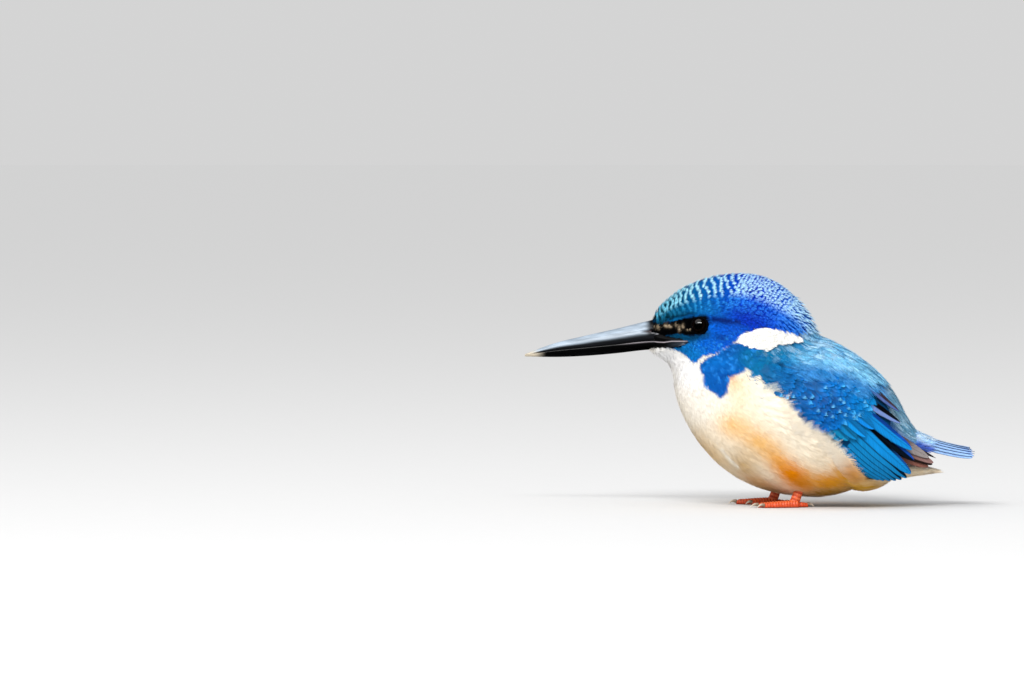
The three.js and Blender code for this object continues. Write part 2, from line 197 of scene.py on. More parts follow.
# The hull that the folded wings lie on: 2 mm wider, and past the rump behind the saddle.
HULL_RINGS = BODY_RINGS + np.array([0, 0, 0, 0, 2.0, 0, 0])
HULL_RINGS[12:] = [
    [51.6, 39.2, 17.2, 2.4, 21.8, -0.04, 0.0],
    [56.0, 32.8, 30.0, 1.6, 19.6, -0.04, 0.0],
    [60.0, 27.6, 42.4, 3.4, 15.8, 0.0, 0.0],
    [64.0, 22.8, 53.2, 6.6, 12.2, 0.0, 0.0],
    [68.2, 18.2, 62.4, 10.4, 9.4, 0.0, 0.0],
]
PINCH_ANGLE, PINCH_SPREAD = 58, 30
EYE_STATION, EYE_ANGLE, EYE_RADIUS = 3.54, 86.5, 3.58


@dataclass(frozen=True)
class Form:
    """A rounded form through rings, as a function of station s and degrees phi from the spine.

    Attributes:
        rings: one row per station, as in BODY_RINGS.
    """

    rings: Array

    def point(self, s: Array, phi: Array) -> Array:
        """A point of the surface: the ring's middle, plus cos(phi) of the half way to the back,
        plus sin(phi) of the half width, shaped by the egg and the pinch.

        Args:
            s: stations.
            phi: degrees from the spine, positive on the left side.

        Returns:
            Points in mm, with x, y and z as the last axis.
        """
        c = through(self.rings, s)
        angle = np.radians(phi)
        up = np.cos(angle)
        waist = 1 - c[..., 6] * bump(np.abs(phi), PINCH_ANGLE, PINCH_SPREAD)
        x = c[..., 4] * np.sin(angle) * (1 + c[..., 5] * up) * waist
        y, z = ((c[..., i] * (1 + up) + c[..., i + 2] * (1 - up)) / 2 for i in (0, 1))
        return np.stack([x, y, z], -1)

    def slopes(self, s: Array, phi: Array) -> tuple[Array, Array, Array]:
        """Slopes of the surface, from differences over a small step.

        Args:
            s, phi: stations and degrees.

        Returns:
            The way per station, the way per degree and the outward normal.
        """
        along = (self.point(s + 0.02, phi) - self.point(s - 0.02, phi)) / 0.04
        around = self.point(s, phi + 0.5) - self.point(s, phi - 0.5)
        return along, around, unit(np.cross(around, along))

    def locate(self, y: Array, z: Array) -> tuple[Array, Array]:
        """Finds places seen from the side. A ring is a straight line seen from there, so the
        station is where that line meets the place.

        Args:
            y, z: places in mm.

        Returns:
            Their stations and positive degrees.
        """
        y, z = np.atleast_1d(y).astype(float), np.atleast_1d(z).astype(float)
        k = np.linspace(-0.6, 16.6, 2400)
        c = through(self.rings, k)
        half = (c[:, :2] - c[:, 2:4]) / 2
        away = np.stack([y, z], -1)[:, None] - (c[:, :2] + c[:, 2:4]) / 2
        size = dot(half, half)
        share = dot(away, half) / size
        miss = np.abs(away[..., 0] * half[:, 1] - away[..., 1] * half[:, 0]) / np.sqrt(size)
        past_end = 9 * np.clip(np.abs(share) - 1, 0, None)
        best = np.argmin(miss + past_end, 1)
        return k[best], np.degrees(np.arccos(np.clip(share[np.arange(len(y)), best], -1, 1)))


BODY, HULL = Form(BODY_RINGS), Form(HULL_RINGS)


# ---- Markings ----
def near(y: Array, z: Array, path: Path) -> Array:
    """Distance to a chain of straight pieces: the least of those to each piece.

    Args:
        y, z: places in mm.
        path: the chain's corners.

    Returns:
        Distances in mm.
    """
    best = np.full(np.broadcast(y, z).shape, 1e9)
    for (y0, z0), (y1, z1) in zip(path, path[1:]):
        dy, dz = y1 - y0, z1 - z0
        t = np.clip(((y - y0) * dy + (z - z0) * dz) / (dy * dy + dz * dz + 1e-9), 0, 1)
        best = np.minimum(best, np.hypot(y - y0 - t * dy, z - z0 - t * dz))
    return best


def inside(y: Array, z: Array, corners: Path) -> Array:
    """Depth inside a closed outline: the distance to it, negative where a line from the place
    crosses the outline an even number of times.

    Args:
        y, z: places in mm.
        corners: the outline's corners.

    Returns:
        Depths in mm.
    """
    count = np.zeros(np.broadcast(y, z).shape, int)
    for (y0, z0), (y1, z1) in zip(corners, corners[1:] + corners[:1]):
        count += ((z0 > z) != (z1 > z)) & (y < y0 + (z - z0) * (y1 - y0) / (z1 - z0 + 1e-9))
    return near(y, z, corners + corners[:1]) * np.where(count % 2 == 1, 1, -1)


def above(y: Array, z: Array, path: Path) -> Array:
    """Height in mm above a line that runs along y."""
    return z - np.interp(y, [p[0] for p in path], [p[1] for p in path])


# Outlines as (y, z) seen from the side. The same ones hold on both sides.
HEAD_LINE: Path = (
    (-40, 54.7), (-36, 54.8), (-33, 55.1), (-28, 55.0), (-25, 54.3), (-23.4, 53.5), (-21.9, 52.2),
    (-20.4, 50.8), (-19.3, 50.1), (-18.4, 50.3), (-17.5, 51.6), (-15.6, 52.7), (-13, 53.3),
    (-11.2, 53.5), (-6, 56.8), (-4.4, 58), (9, 57), (19, 58.3), (24, 61), (50, 80),
)
NECK_PATCH: Path = (
    (-4.4, 58.4), (-3, 59.8), (-1, 60.9), (2, 61.7), (5.5, 61.9), (9, 61.6), (12, 60.9),
    (15, 59.8), (19.2, 58.1), (17.5, 57.2), (14, 57.1), (10.6, 57.3), (9, 56.4), (7.4, 55.5),
    (5, 55.8), (2, 56.7), (-2, 57.3),
)
COLLAR: Path = (
    (-11.2, 53.4), (-14.8, 51.9), (-17, 49.6), (-17.5, 48.3), (-16.8, 46.5), (-15.8, 44.5),
    (-16.2, 41.6), (-15, 41), (-13, 39.8), (-11.2, 38.4), (-9.6, 37), (-8, 38.4), (-7.4, 42),
    (-7.1, 44.7), (-5, 45.7), (-2.5, 46.4), (-0.5, 48.5), (2, 49.5), (7, 55.5), (-2, 57.4),
    (-6, 57),
)
FLANK_LINE: Path = (
    (-4, 90), (-3, 46), (0, 48.6), (1.5, 46), (5, 42.4), (8.5, 38.8), (12, 35.8), (15.5, 32.4),
    (17.5, 29.8), (23, 27.6), (25.5, 24.4), (30, 21.8), (32, 18.6), (35, 14.8), (38, 11.4),
    (41, 8.8), (43, 8.0), (50, 10), (56, 13), (66, 16),
)
LORES: Path = (
    (-37, 65.4), (-34, 65.4), (-30, 65.2), (-26, 65.4), (-22, 66.6), (-18.5, 67.4), (-15, 67.6),
    (-13.2, 64.6), (-13.8, 62), (-16.2, 60.2), (-20.5, 59.6), (-25, 60.4), (-30, 59.8),
    (-31, 57.8), (-24, 57.4), (-23.4, 55.4), (-29, 54.9), (-37, 54.9),
)
SCAPULARS: Path = (
    (4.5, 54.5), (9, 57.3), (19, 58), (24, 62), (33, 58), (41, 52.5), (48, 46), (50, 41),
    (46.5, 41), (44, 37), (40, 37), (36.5, 39.8), (33, 42.5), (28, 43.2), (22, 44.2),
    (19.5, 42.6), (16, 45), (12, 48), (8, 50.5), (4, 52.5),
)
COVERTS: Path = (
    (0, 49.4), (4.5, 54), (9, 52), (13, 49), (17, 46.5), (20, 44.5), (24, 46), (30, 45), (35, 43.5),
    (40, 39), (45, 36), (43.5, 32), (40, 31), (36, 30), (30, 27), (25, 25), (22, 27),
    (16.5, 29.4), (13.5, 33.2), (10.5, 36.2), (7.6, 39), (4.6, 42), (1, 45.4),
)
WING_SKIN: Path = (
    (3, 50), (8, 54), (14, 56), (30, 54), (42, 46), (47, 40), (50, 32), (47, 24), (40, 19),
    (35, 19), (31, 22.4), (25, 25), (22, 27), (17, 29.6), (14, 33), (11, 37), (8.5, 40.5),
    (7, 43), (4, 46),
)
GAPE: Path = (
    (-37, 61.3), (-33, 60.9), (-29, 59.7), (-25, 59.2), (-21.3, 58.2), (-23, 56.9), (-26, 55.6),
    (-31, 54.9), (-37, 54.9),
)
GAPE_RIM: Path = ((-38, 57.7), (-30, 57.6), (-27.5, 58.0), (-21.5, 58.1))
# Soft patches of colour: y, z, the two radii, lean in degrees, colour and strength. The tan,
# olive and brown patches low on the belly and at the vent are partly painted shade.
BELLY_PATCHES = (
    (-29, 52, 8, 4, 0, "#ffffff", 1.2), (-22, 46, 9, 11, 0, "#fffefd", 1.0),
    (-15, 32, 8, 8, 0, "#fdf8ee", 0.8), (-17, 24, 4, 4, -50, "#eddcc0", 0.5),
    (-13, 17.5, 10, 3.8, -38, "#f2d3a0", 0.85),
    (-5.2, 42.6, 3.4, 3, 0, "#fbd3a4", 0.8), (-6.2, 44.8, 1.8, 1.1, 20, "#d89f88", 0.7),
    (-3.5, 37, 3, 5, 0, "#fbe4c0", 0.6), (-5, 28, 6.5, 4.6, -15, "#fad092", 0.95),
    (3.5, 22.4, 7, 4.2, -28, "#f8c87e", 0.95), (9, 18.2, 5, 3.6, -38, "#f6c274", 0.85),
    (0.5, 17.5, 5, 3, -35, "#e9cda2", 0.7), (-1, 13.5, 6, 2.6, -35, "#d8b273", 0.75),
    (21, 10, 6, 4.4, -30, "#f3b95a", 0.8), (26, 16.5, 8, 5.5, -38, "#fff0d6", 0.85),
    (5, 7.6, 8, 2.6, -18, "#cf9030", 0.75), (9, 5, 6, 1.8, -8, "#9a6c20", 0.75),
    (36, 11.5, 5.4, 5.2, -35, "#e8a12a", 1.1), (29, 8.2, 10, 3.8, 0, "#efa52c", 1.1),
    (28, 4.2, 10, 2.0, 4, "#a6740c", 1.0), (42, 8.4, 7.5, 3.6, 15, "#c4922c", 1.0),
    (52, 10, 5, 3, 10, "#d8c8a0", 0.9), (12.6, 13.8, 5.8, 3.4, -36, "#f5a830", 0.95),
    (15.8, 11.2, 4.4, 3.2, -25, "#f09000", 1.15), (19.4, 8, 3.8, 2.4, -20, "#e08c10", 0.95),
)
# Buff flecks of the lores: y, z and the two radii.
LORE_FLECKS = (
    (-32.9, 63.4, 0.45, 0.9), (-31.5, 63.2, 0.5, 1.0), (-28.9, 63.8, 0.8, 0.9),
    (-27.6, 63.4, 0.7, 0.7), (-25.5, 63.8, 0.4, 1.0), (-24.4, 62.4, 0.5, 1.1),
    (-23.1, 63.4, 0.4, 0.9), (-21.5, 61.8, 0.6, 0.35),
)
# Middles of the pale bars across the crown, as y at one height, and how far they lean.
CROWN_BARS = (
    -33.6, -32.2, -30.8, -29.3, -27.7, -26.0, -24.2, -22.2, -19.9, -17.4, -14.6, -11.9, -9.4,
    -6.9, -4.4, -1.9,
)
BAR_HEIGHT, BAR_LEAN = 74, 0.2


@dataclass(frozen=True)
class Spot:
    """Places to paint.

    Attributes:
        x, y, z: in mm; x is the distance from the middle.
        s, phi: station and degrees from the spine.
        chance: a random number for each feather, from 0 to 1.
        along: 0 at a feather's root to 1 at its tip.
    """

    x: Array
    y: Array
    z: Array
    s: Array
    phi: Array
    chance: Array
    along: Array

    @staticmethod
    def at(p: Array, s: Array, phi: Array, chance: Array, along: Array) -> Spot:
        """Places at points of either side."""
        return Spot(np.abs(p[..., 0]), p[..., 1], p[..., 2], s, phi, chance, along)

    def blob(self, y: float, z: float, wide: float, tall: float, lean: float = 0) -> Array:
        """Weight of a soft oval patch: exp(-(distance in radii)^2)."""
        c, s = np.cos(np.radians(lean)), np.sin(np.radians(lean))
        dy, dz = self.y - y, self.z - z
        return np.exp(-(((dy * c + dz * s) / wide) ** 2) - ((dz * c - dy * s) / tall) ** 2)

    def stripe(self, width: float, *path: tuple[float, float]) -> Array:
        """Weight of a soft stripe along a path."""
        return bump(near(self.y, self.z, path), 0, width)

    def flat(self, code: str) -> Array:
        """One colour at every place."""
        return flat(code, self.y.shape)


class Markings:
    """The bird's markings, shared by the skin and the coat. Each method takes the places to
    paint and returns their linear colours."""

    @staticmethod
    def underparts(a: Spot) -> Array:
        """White throat, cream breast and flanks, and an apricot band that deepens by the legs. The
        tan and olive-brown low on the belly and at the vent are partly painted shade, and a thin pale
        line on the lower breast is a painted highlight on pale tufts.
        """
        c = a.flat("#fcf1dc")
        for y, z, wide, tall, lean, code, strength in BELLY_PATCHES:
            share = strength * a.blob(y, z, wide, tall, lean) * (0.85 + 0.3 * a.chance)
            c = over(c, code, np.minimum(share, 1))
        # painted highlight: a thin pale line along the edges of pale tufts on the lower breast
        return over(c, "#fffaee", 0.9 * a.stripe(0.55, (-9, 19.2), (-6.4, 15.8), (-3.2, 13.2)))

    @staticmethod
    def crown_base(a: Spot) -> Array:
        """Dark teal forehead turning ultramarine, deepest behind the eye."""
        c = ramp(a.y, ((-34, "#05262f"), (-29, "#08445a"), (-24, "#0a5c8a"), (-18, "#0a68b0"),
                       (-11, "#0b64c4"), (-4, "#0548ce"), (3, "#0234c8"), (12, "#0652d6"),
                       (22, "#1a78de")))
        c = over(c, "#1478c4", 0.7 * a.blob(-15, 69.2, 4.5, 2.0))
        c = over(c, "#0428b0", 0.8 * a.blob(0, 67.5, 7, 3.2, -8))
        c = over(c, "#1e6ce0", 0.5 * a.chance * ease(a.y, 4, 14))
        return over(c, "#03161f", 0.85 * a.stripe(1.0, (-35, 65.6), (-26, 66.2), (-20, 67.6)))

    @classmethod
    def crown_tips(cls, a: Spot) -> Array:
        """Pale tips of the crown feathers: bright near the top, blue lower down."""
        limit = curve((50, 52, 56, 55, 51, 47, 42, 34, 32), a.s)
        bright = 1 - ease(np.abs(a.phi), limit - 7, limit + 5)
        faint = 1 - ease(np.abs(a.phi), limit + 6, limit + 22)
        pale = ramp(a.y, ((-33, "#4fb0d2"), (-27, "#93e2fa"), (-18, "#b8f2ff"), (-6, "#bcecff"),
                          (4, "#b4e0fe"), (20, "#b4e2fa")))
        dim = ramp(a.y, ((-30, "#1b7aa6"), (-20, "#2a98d6"), (-8, "#2b90ea"), (6, "#2a7cf0"),
                         (20, "#4c9cee")))
        tip = ease(a.along, 0.15, 0.45)
        c = over(cls.crown_base(a), dim, faint * tip * 0.8)
        return over(c, pale, bright * tip)

    @staticmethod
    def face(a: Spot) -> Array:
        """Bright blue cheek and malar, a navy line behind the eye, and black lores with flecks."""
        c = ramp(a.y, ((-24, "#0c7cc4"), (-17, "#0a72e6"), (-8, "#075cd8"), (4, "#0646c4")))
        cheek = a.stripe(2.9, (-19.5, 56), (-15, 55), (-9, 56.6), (-4, 58))
        c = over(c, "#2f9cf0", 0.75 * ease(a.chance, 0.62, 0.9) * cheek)
        c = over(c, "#06347e", 0.5 * ease(-a.chance, -0.3, 0.0))
        c = over(c, "#1485d4", 0.8 * a.stripe(2.2, (-23, 55.8), (-20, 52.6), (-18, 53)))
        c = over(c, "#0a4058", 0.85 * a.stripe(1.5, (-27, 59.4), (-20.5, 58.9), (-15, 60.2)))
        c = over(c, "#041c68", 0.9 * a.stripe(1.3, (-12.5, 65.8), (-8, 65), (0, 64.6)))
        c = over(c, "#0632a0", 0.7 * a.stripe(1.5, (0, 64.4), (10, 63.4)))
        c = over(c, "#06307a", 0.7 * a.blob(-10, 59, 2.2, 1.0))
        c = over(c, "#060709", ease(inside(a.y, a.z, LORES), -0.45, 0.45))
        for y, z, wide, tall in LORE_FLECKS:
            share = np.minimum(1.5 * a.blob(y, z, 0.85 * wide, 0.8 * tall), 1)
            c = over(c, "#cbb596", share * (0.4 + 0.6 * a.chance))
        return c

    @staticmethod
    def collar(a: Spot) -> Array:
        """Deep blue half-collar, brighter above and teal where it meets the shoulder."""
        c = over(a.flat("#0a60b8"), "#0c79d4", 0.8 * a.blob(-12, 50.5, 5, 2.6, 10))
        c = over(c, "#063c8c", 0.7 * a.blob(-8, 45.4, 2.4, 1.0))
        c = over(c, "#0a55b0", 0.7 * a.blob(-9.4, 41, 2.4, 3.6))
        c = over(c, "#0b6c98", 0.9 * a.blob(-0.5, 52, 4, 4))
        return over(c, "#2f98f2", ease(a.chance, 0.86, 0.95) * 0.8)

    @staticmethod
    def upperparts(a: Spot) -> Array:
        """Teal shoulders turning grey-blue over the mantle and pale azure on the rump, with pale flecks of
        painted sheen high on the mantle and a painted shadow under the shoulder feathers.
        """
        reach = a.y - 0.35 * (a.z - 50)
        c = ramp(reach, ((1, "#0870a2"), (8, "#0a78aa"), (15, "#2890c4"), (23, "#7cc4ec"),
                         (34, "#86d2f8"), (46, "#8cdafc")))
        low = above(a.y, a.z, ((4, 52), (12, 50.5), (24, 48.5), (34, 46), (44, 41)))
        c = over(c, "#0b78cc", 0.8 * ease(-low, -2.5, 2.0) * ease(a.y, 5, 14))
        # painted sheen: pale flecks above the low line stand in for light glancing off the mantle
        c = over(c, "#c4e6fb", 0.6 * ease(a.chance, 0.45, 0.95) * ease(low, -2, 5))
        c = over(c, "#0b6cac", 0.6 * ease(-a.chance, -0.36, -0.05))
        # painted shadow: a dark line under the lower edge of the shoulder feathers
        c = over(c, "#032a4c", 0.8 * a.stripe(0.8, (11.5, 50), (13, 47), (16, 45.5), (19.5, 41.5)))
        azure = over(a.flat("#659fc0"), "#b4d6e8", 0.8 * ease(a.chance, 0.4, 0.9))
        azure = over(azure, "#2f6fe0", 0.9 * ease(np.abs(a.phi), 38, 56))
        return over(c, azure, ease(a.y, 47, 51))

    @staticmethod
    def coverts(a: Spot) -> Array:
        """Deep blue wing coverts with paler tips, more teal at the shoulder."""
        c = ramp(a.y, ((2, "#0480b8"), (10, "#0470b6"), (17, "#0266b6"), (26, "#0260b6"),
                       (34, "#0270c2"), (44, "#0a86cc")))
        c = over(c, "#044c94", 0.8 * a.blob(28, 36, 5, 3.4, -10))
        c = over(c, "#045088", 0.7 * a.blob(17, 43.5, 2.6, 1.4, -45))
        c = over(c, "#0a86dc", 0.6 * a.blob(26, 41.5, 4, 2))
        c = over(c, "#033c6c", 0.5 * (1 - ease(a.along, 0.3, 0.75)))
        c = over(c, "#088cee", 0.6 * ease(a.along, 0.72, 0.95) * ease(a.chance, 0.1, 0.5))
        return over(c, "#4ab8f8", 0.9 * ease(a.along, 0.62, 0.9) * ease(a.chance, 0.83, 0.91))

    @classmethod
    def body(cls, a: Spot) -> Array:
        """The markings at any place of the skin."""
        c = over(cls.underparts(a), cls.upperparts(a), ease(above(a.y, a.z, FLANK_LINE), -0.4, 0.4))
        brow = above(a.y, a.z, ((-37, 65.5), (-30, 65.6), (-20, 67.4), (-14, 67.2), (-8, 66), (24, 61.5)))
        head = over(cls.face(a), cls.crown_base(a), ease(brow, -0.8, 0.8))
        c = over(c, head, ease(above(a.y, a.z, HEAD_LINE), -0.3, 0.3))
        c = over(c, cls.collar(a), ease(inside(a.y, a.z, COLLAR), -0.35, 0.35))
        return over(c, "#fffefa", ease(inside(a.y, a.z, NECK_PATCH), -0.3, 0.3))


Painter = Callable[[Spot], Array]


# ---- Meshes ----
@dataclass
class Pieces:
    """Blocks of points and faces gathered for one mesh.

    Attributes:
        name: the piece's name.
        blocks: for each block its points in mm (n, 3), linear colours (n, 3), places on the bake
            map (n, 2) and on the barb map in mm, across and along (n, 2).
        faces: (n, 3) or (n, 4) numbers of points.
        count: the number of points so far.
    """

    name: str
    blocks: list[tuple[Array, ...]] = field(default_factory=list)
    faces: list[Array] = field(default_factory=list)
    count: int = 0

    def add(self, points: Array, faces: list[Array], tint: Array, *maps: Array) -> None:
        """Adds a block whose faces are numbered from 0.

        Args:
            points, tint: as in blocks.
            faces: arrays of faces.
            *maps: places on the bake map and on the barb map, where the mesh has them.
        """
        self.blocks.append((points, tint, *(maps or (np.zeros((len(points), 2)),) * 2)))
        self.faces += [f + self.count for f in faces]
        self.count += len(points)

    def build(self, finish: Finish, slot: str | None, *nodes: str, chart: bool = False) -> bpy.types.Object:
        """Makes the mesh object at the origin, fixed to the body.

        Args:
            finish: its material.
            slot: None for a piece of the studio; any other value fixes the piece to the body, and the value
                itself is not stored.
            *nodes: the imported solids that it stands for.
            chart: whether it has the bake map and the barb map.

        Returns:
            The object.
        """
        points, tints, charts, barbs = (np.concatenate(column) for column in zip(*self.blocks))
        loops = np.concatenate([f.ravel() for f in self.faces]).astype(np.int32)
        sizes = np.concatenate([np.full(len(f), f.shape[1]) for f in self.faces])
        mesh = bpy.data.meshes.new(self.name)
        mesh.vertices.add(len(points))
        mesh.vertices.foreach_set("co", (points * MM).astype(np.float32).ravel())
        mesh.loops.add(len(loops))
        mesh.loops.foreach_set("vertex_index", loops)
        mesh.polygons.add(len(sizes))
        mesh.polygons.foreach_set("loop_start", (np.cumsum(sizes) - sizes).astype(np.int32))
        mesh.polygons.foreach_set("use_smooth", np.ones(len(sizes), bool))
        rgba = np.column_stack([tints, np.ones(len(tints))]).astype(np.float32)
        mesh.attributes.new("Tint", "FLOAT_COLOR", "POINT").data.foreach_set("color", rgba.ravel())
        if chart:
            for name, places in (("OFBake", charts), ("Barbs", barbs)):
                layer = mesh.uv_layers.new(name=name)
                layer.data.foreach_set("uv", places[loops].astype(np.float32).ravel())
        mesh.update(calc_edges=True)
        mesh.validate()
        mesh.materials.append(finish.material())
        piece = bpy.data.objects.new(self.name, mesh)
        bpy.context.scene.collection.objects.link(piece)
        if slot:
            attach(piece, "root")
        if nodes:
            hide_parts(*nodes)
        LOG.info("%-24s %7d triangles", self.name, int((sizes - 2).sum()))
        return piece


def lofted(rings: Array) -> tuple[Array, list[Array]]:
    """A closed solid through rings of points, with a pole in the middle of each end, turned so
    that its faces point out.

    Args:
        rings: (rows, columns, 3).

    Returns:
        Points and faces.
    """
    rows, columns = rings.shape[:2]
    points = with_poles(rings)
    i, j = np.meshgrid(np.arange(rows - 1) * columns, np.arange(columns), indexing="ij")
    k = (j + 1) % columns
    quads = np.stack([i + j, i + k, i + k + columns, i + j + columns], -1).reshape(-1, 4)
    j, k, base = j[0], k[0], (rows - 1) * columns
    pole = np.full(columns, rows * columns)
    caps = np.concatenate([np.stack([pole, k, j], -1), np.stack([pole + 1, base + j, base + k], -1)])
    corners = points[np.concatenate([quads[:, :3], quads[:, [0, 2, 3]], caps])]
    volume = dot(corners[:, 0], np.cross(corners[:, 1], corners[:, 2])).sum()
    return points, [f if volume > 0 else f[:, ::-1] for f in (quads, caps)]


def with_poles(grid: Array) -> Array:
    """Flattens a grid of values and adds those of the two poles of its loft."""
    return np.concatenate([grid.reshape(-1, grid.shape[-1]), grid[:1].mean(1), grid[-1:].mean(1)])


# ---- Finishes ----
def add_node(tree: bpy.types.NodeTree, kind: str, links: dict, **settings: object) -> bpy.types.Node:
    """Adds a node.

    Args:
        tree: the material's nodes.
        kind: the node's type name.
        links: input name or number to an output socket or a plain value.
        **settings: the node's own properties.

    Returns:
        The node.
    """
    made = tree.nodes.new(kind)
    for key, value in settings.items():
        setattr(made, key, value)
    for key, value in links.items():
        if isinstance(value, bpy.types.NodeSocket):
            tree.links.new(value, made.inputs[key])
        else:
            made.inputs[key].default_value = value
    return made


class Grain(Enum):
    """How a surface's fine pattern runs."""

    STRANDS = "soft strands in every direction"
    BARBS = "barbs slanting from a shaft"
    SHEATH = "fine lines along the bird"
    PEBBLES = "small round scales"
    CLEAR = "no pattern"


# How far barbs slant forward per mm from the shaft, and how much patterns are drawn out.
BARB_SLANT, BARB_STRETCH, SHEATH_STRETCH = 1.3, 0.1, 0.06


@dataclass(frozen=True)
class Finish:
    """A surface whose colour is painted on the mesh, with a fine pattern over it.

    Attributes:
        name: the material's name: what it is and how it was made.
        grain: how the pattern runs.
        size_mm: spacing of the pattern.
        roughness: 0 for polished, 1 for matt.
        low, high: brightness of the pattern's dark and pale parts.
        bump_mm: height of the pattern.
        sheen: pale fuzz at grazing angles.
        flesh_mm: how far light scatters under the surface.
        ior: index of refraction.
    """

    name: str
    grain: Grain
    size_mm: float = 0.3
    roughness: float = 0.6
    low: float = 0.85
    high: float = 1.1
    bump_mm: float = 0.0
    sheen: float = 0.0
    flesh_mm: float = 0.0
    ior: float = 1.5

    def _pattern(self, tree: bpy.types.NodeTree) -> bpy.types.NodeSocket:
        """The pattern from 0 to 1. Barbs are noise drawn out along lines that slant forward
        from the shaft; the sheath's is drawn out along the bird.

        Args:
            tree: the material's nodes.

        Returns:
            The socket that gives it.
        """
        scale = 1 / (self.size_mm * MM)
        if self.grain is Grain.BARBS:
            uv = add_node(tree, "ShaderNodeUVMap", {}, uv_map="Barbs")
            split = add_node(tree, "ShaderNodeSeparateXYZ", {0: uv.outputs[0]})
            away = add_node(tree, "ShaderNodeMath", {0: split.outputs[0]}, operation="ABSOLUTE")
            terms = {0: away.outputs[0], 1: -BARB_SLANT, 2: split.outputs[1]}
            slant = add_node(tree, "ShaderNodeMath", terms, operation="MULTIPLY_ADD")
            terms = {0: away.outputs[0], 1: BARB_STRETCH}
            across = add_node(tree, "ShaderNodeMath", terms, operation="MULTIPLY")
            ways = {0: slant.outputs[0], 1: across.outputs[0]}
            place = add_node(tree, "ShaderNodeCombineXYZ", ways).outputs[0]
            scale = 1 / self.size_mm
        else:
            place = add_node(tree, "ShaderNodeTexCoord", {}).outputs["Object"]
        if self.grain is Grain.SHEATH:
            drawn = {0: place, "Scale": (1, SHEATH_STRETCH, 1)}
            place = add_node(tree, "ShaderNodeMapping", drawn).outputs[0]
        if self.grain is Grain.PEBBLES:
            cells = add_node(tree, "ShaderNodeTexVoronoi", {"Vector": place, "Scale": scale})
            return cells.outputs["Distance"]
        noise = add_node(tree, "ShaderNodeTexNoise", {"Vector": place, "Scale": scale / 2, "Detail": 2.0})
        return noise.outputs["Fac"]

    def material(self) -> bpy.types.Material:
        """Builds the nodes, once for each finish."""
        if self.name in bpy.data.materials:
            return bpy.data.materials[self.name]
        made = bpy.data.materials.new(self.name)
        made.use_nodes = True
        tree = made.node_tree
        shader = tree.nodes["Principled BSDF"]
        colour = add_node(tree, "ShaderNodeAttribute", {}, attribute_name="Tint").outputs["Color"]
        if self.grain is not Grain.CLEAR:
            pattern = self._pattern(tree)
            span = {"From Min": 0.3, "From Max": 0.7, "To Min": self.low, "To Max": self.high}
            shade = add_node(tree, "ShaderNodeMapRange", {"Value": pattern, **span}).outputs[0]
            painted = {0: colour, "Scale": shade}
            colour = add_node(tree, "ShaderNodeVectorMath", painted, operation="SCALE").outputs[0]
            if self.bump_mm:
                relief = {"Height": pattern, "Strength": 0.5, "Distance": self.bump_mm * MM}
                tree.links.new(add_node(tree, "ShaderNodeBump", relief).outputs[0], shader.inputs["Normal"])
        tree.links.new(colour, shader.inputs["Base Color"])
        plain = {"Roughness": self.roughness, "IOR": self.ior}
        plain |= {"Sheen Weight": self.sheen, "Sheen Roughness": 0.4}
        if self.flesh_mm:
            plain |= {"Subsurface Weight": 0.2, "Subsurface Scale": self.flesh_mm * MM}
            plain["Subsurface Radius"] = (1.0, 0.3, 0.15)
        for socket, value in plain.items():
            shader.inputs[socket].default_value = value
        return made


# Loose down, brushed by preening: matt, so that it scatters light and shows soft strands.
DOWN = Finish("feather_loose_down", Grain.STRANDS, size_mm=0.35, roughness=0.8, low=0.97, high=1.03,
              sheen=0.08, ior=1.12)
# Silky tufts of crown, cheek and back: fine barbs scatter the gloss, so the blues stay deep.
SILK = Finish("feather_silky_tufts", Grain.STRANDS, size_mm=0.3, roughness=0.45, low=0.8, high=1.15, ior=1.1)
# Firm vanes, zipped barbs: satin, with slanting barbs drawn 0.3 mm apart, twice their real spacing.
VANE = Finish("feather_zipped_vane", Grain.BARBS, size_mm=0.3, roughness=0.38, low=0.78, high=1.16,
              bump_mm=0.05, ior=1.16)
# Grown horn, worn smooth: polished along its length, so it takes a long soft highlight.
BILL_HORN = Finish("bill_horn_worn_smooth", Grain.SHEATH, size_mm=0.6, roughness=0.3, low=0.75, high=1.3,
                   bump_mm=0.03, ior=1.4)
CLAW_HORN = Finish("claw_horn_worn_smooth", Grain.SHEATH, size_mm=0.3, roughness=0.35, low=0.85, high=1.15,
                   bump_mm=0.02, ior=1.54)
# Bare skin at the corner of the mouth: dry and close-grained, darker and duller than the horn.
GAPE_SKIN = Finish("gape_skin_bare_dry", Grain.PEBBLES, size_mm=0.4, roughness=0.55, low=1.1, high=0.85,
                   bump_mm=0.02, ior=1.2)
# A wet cornea over a brown iris: clear and mirror smooth, so the lamps show as small crisp glints.
EYE_WET = Finish("eye_wet_cornea", Grain.CLEAR, roughness=0.03, ior=1.45)
# Skin under the coat, finely pebbled and matt; scaled skin on the feet, waxy and a little moist.
SKIN = Finish("skin_pebbled_under_coat", Grain.PEBBLES, size_mm=0.5, roughness=0.85, low=1.0, high=0.92,
              ior=1.12)
SCALES = Finish("foot_skin_scaled_waxy", Grain.PEBBLES, size_mm=0.4, roughness=0.42, low=1.12, high=0.82,
                bump_mm=0.06, flesh_mm=0.6)
# Uncoated background paper, pressed matt: no gloss, and a mottle too faint to draw the eye.
PAPER = Finish("studio_paper_matt", Grain.STRANDS, size_mm=4.0, roughness=0.9, low=0.996, high=1.004, ior=1.0)


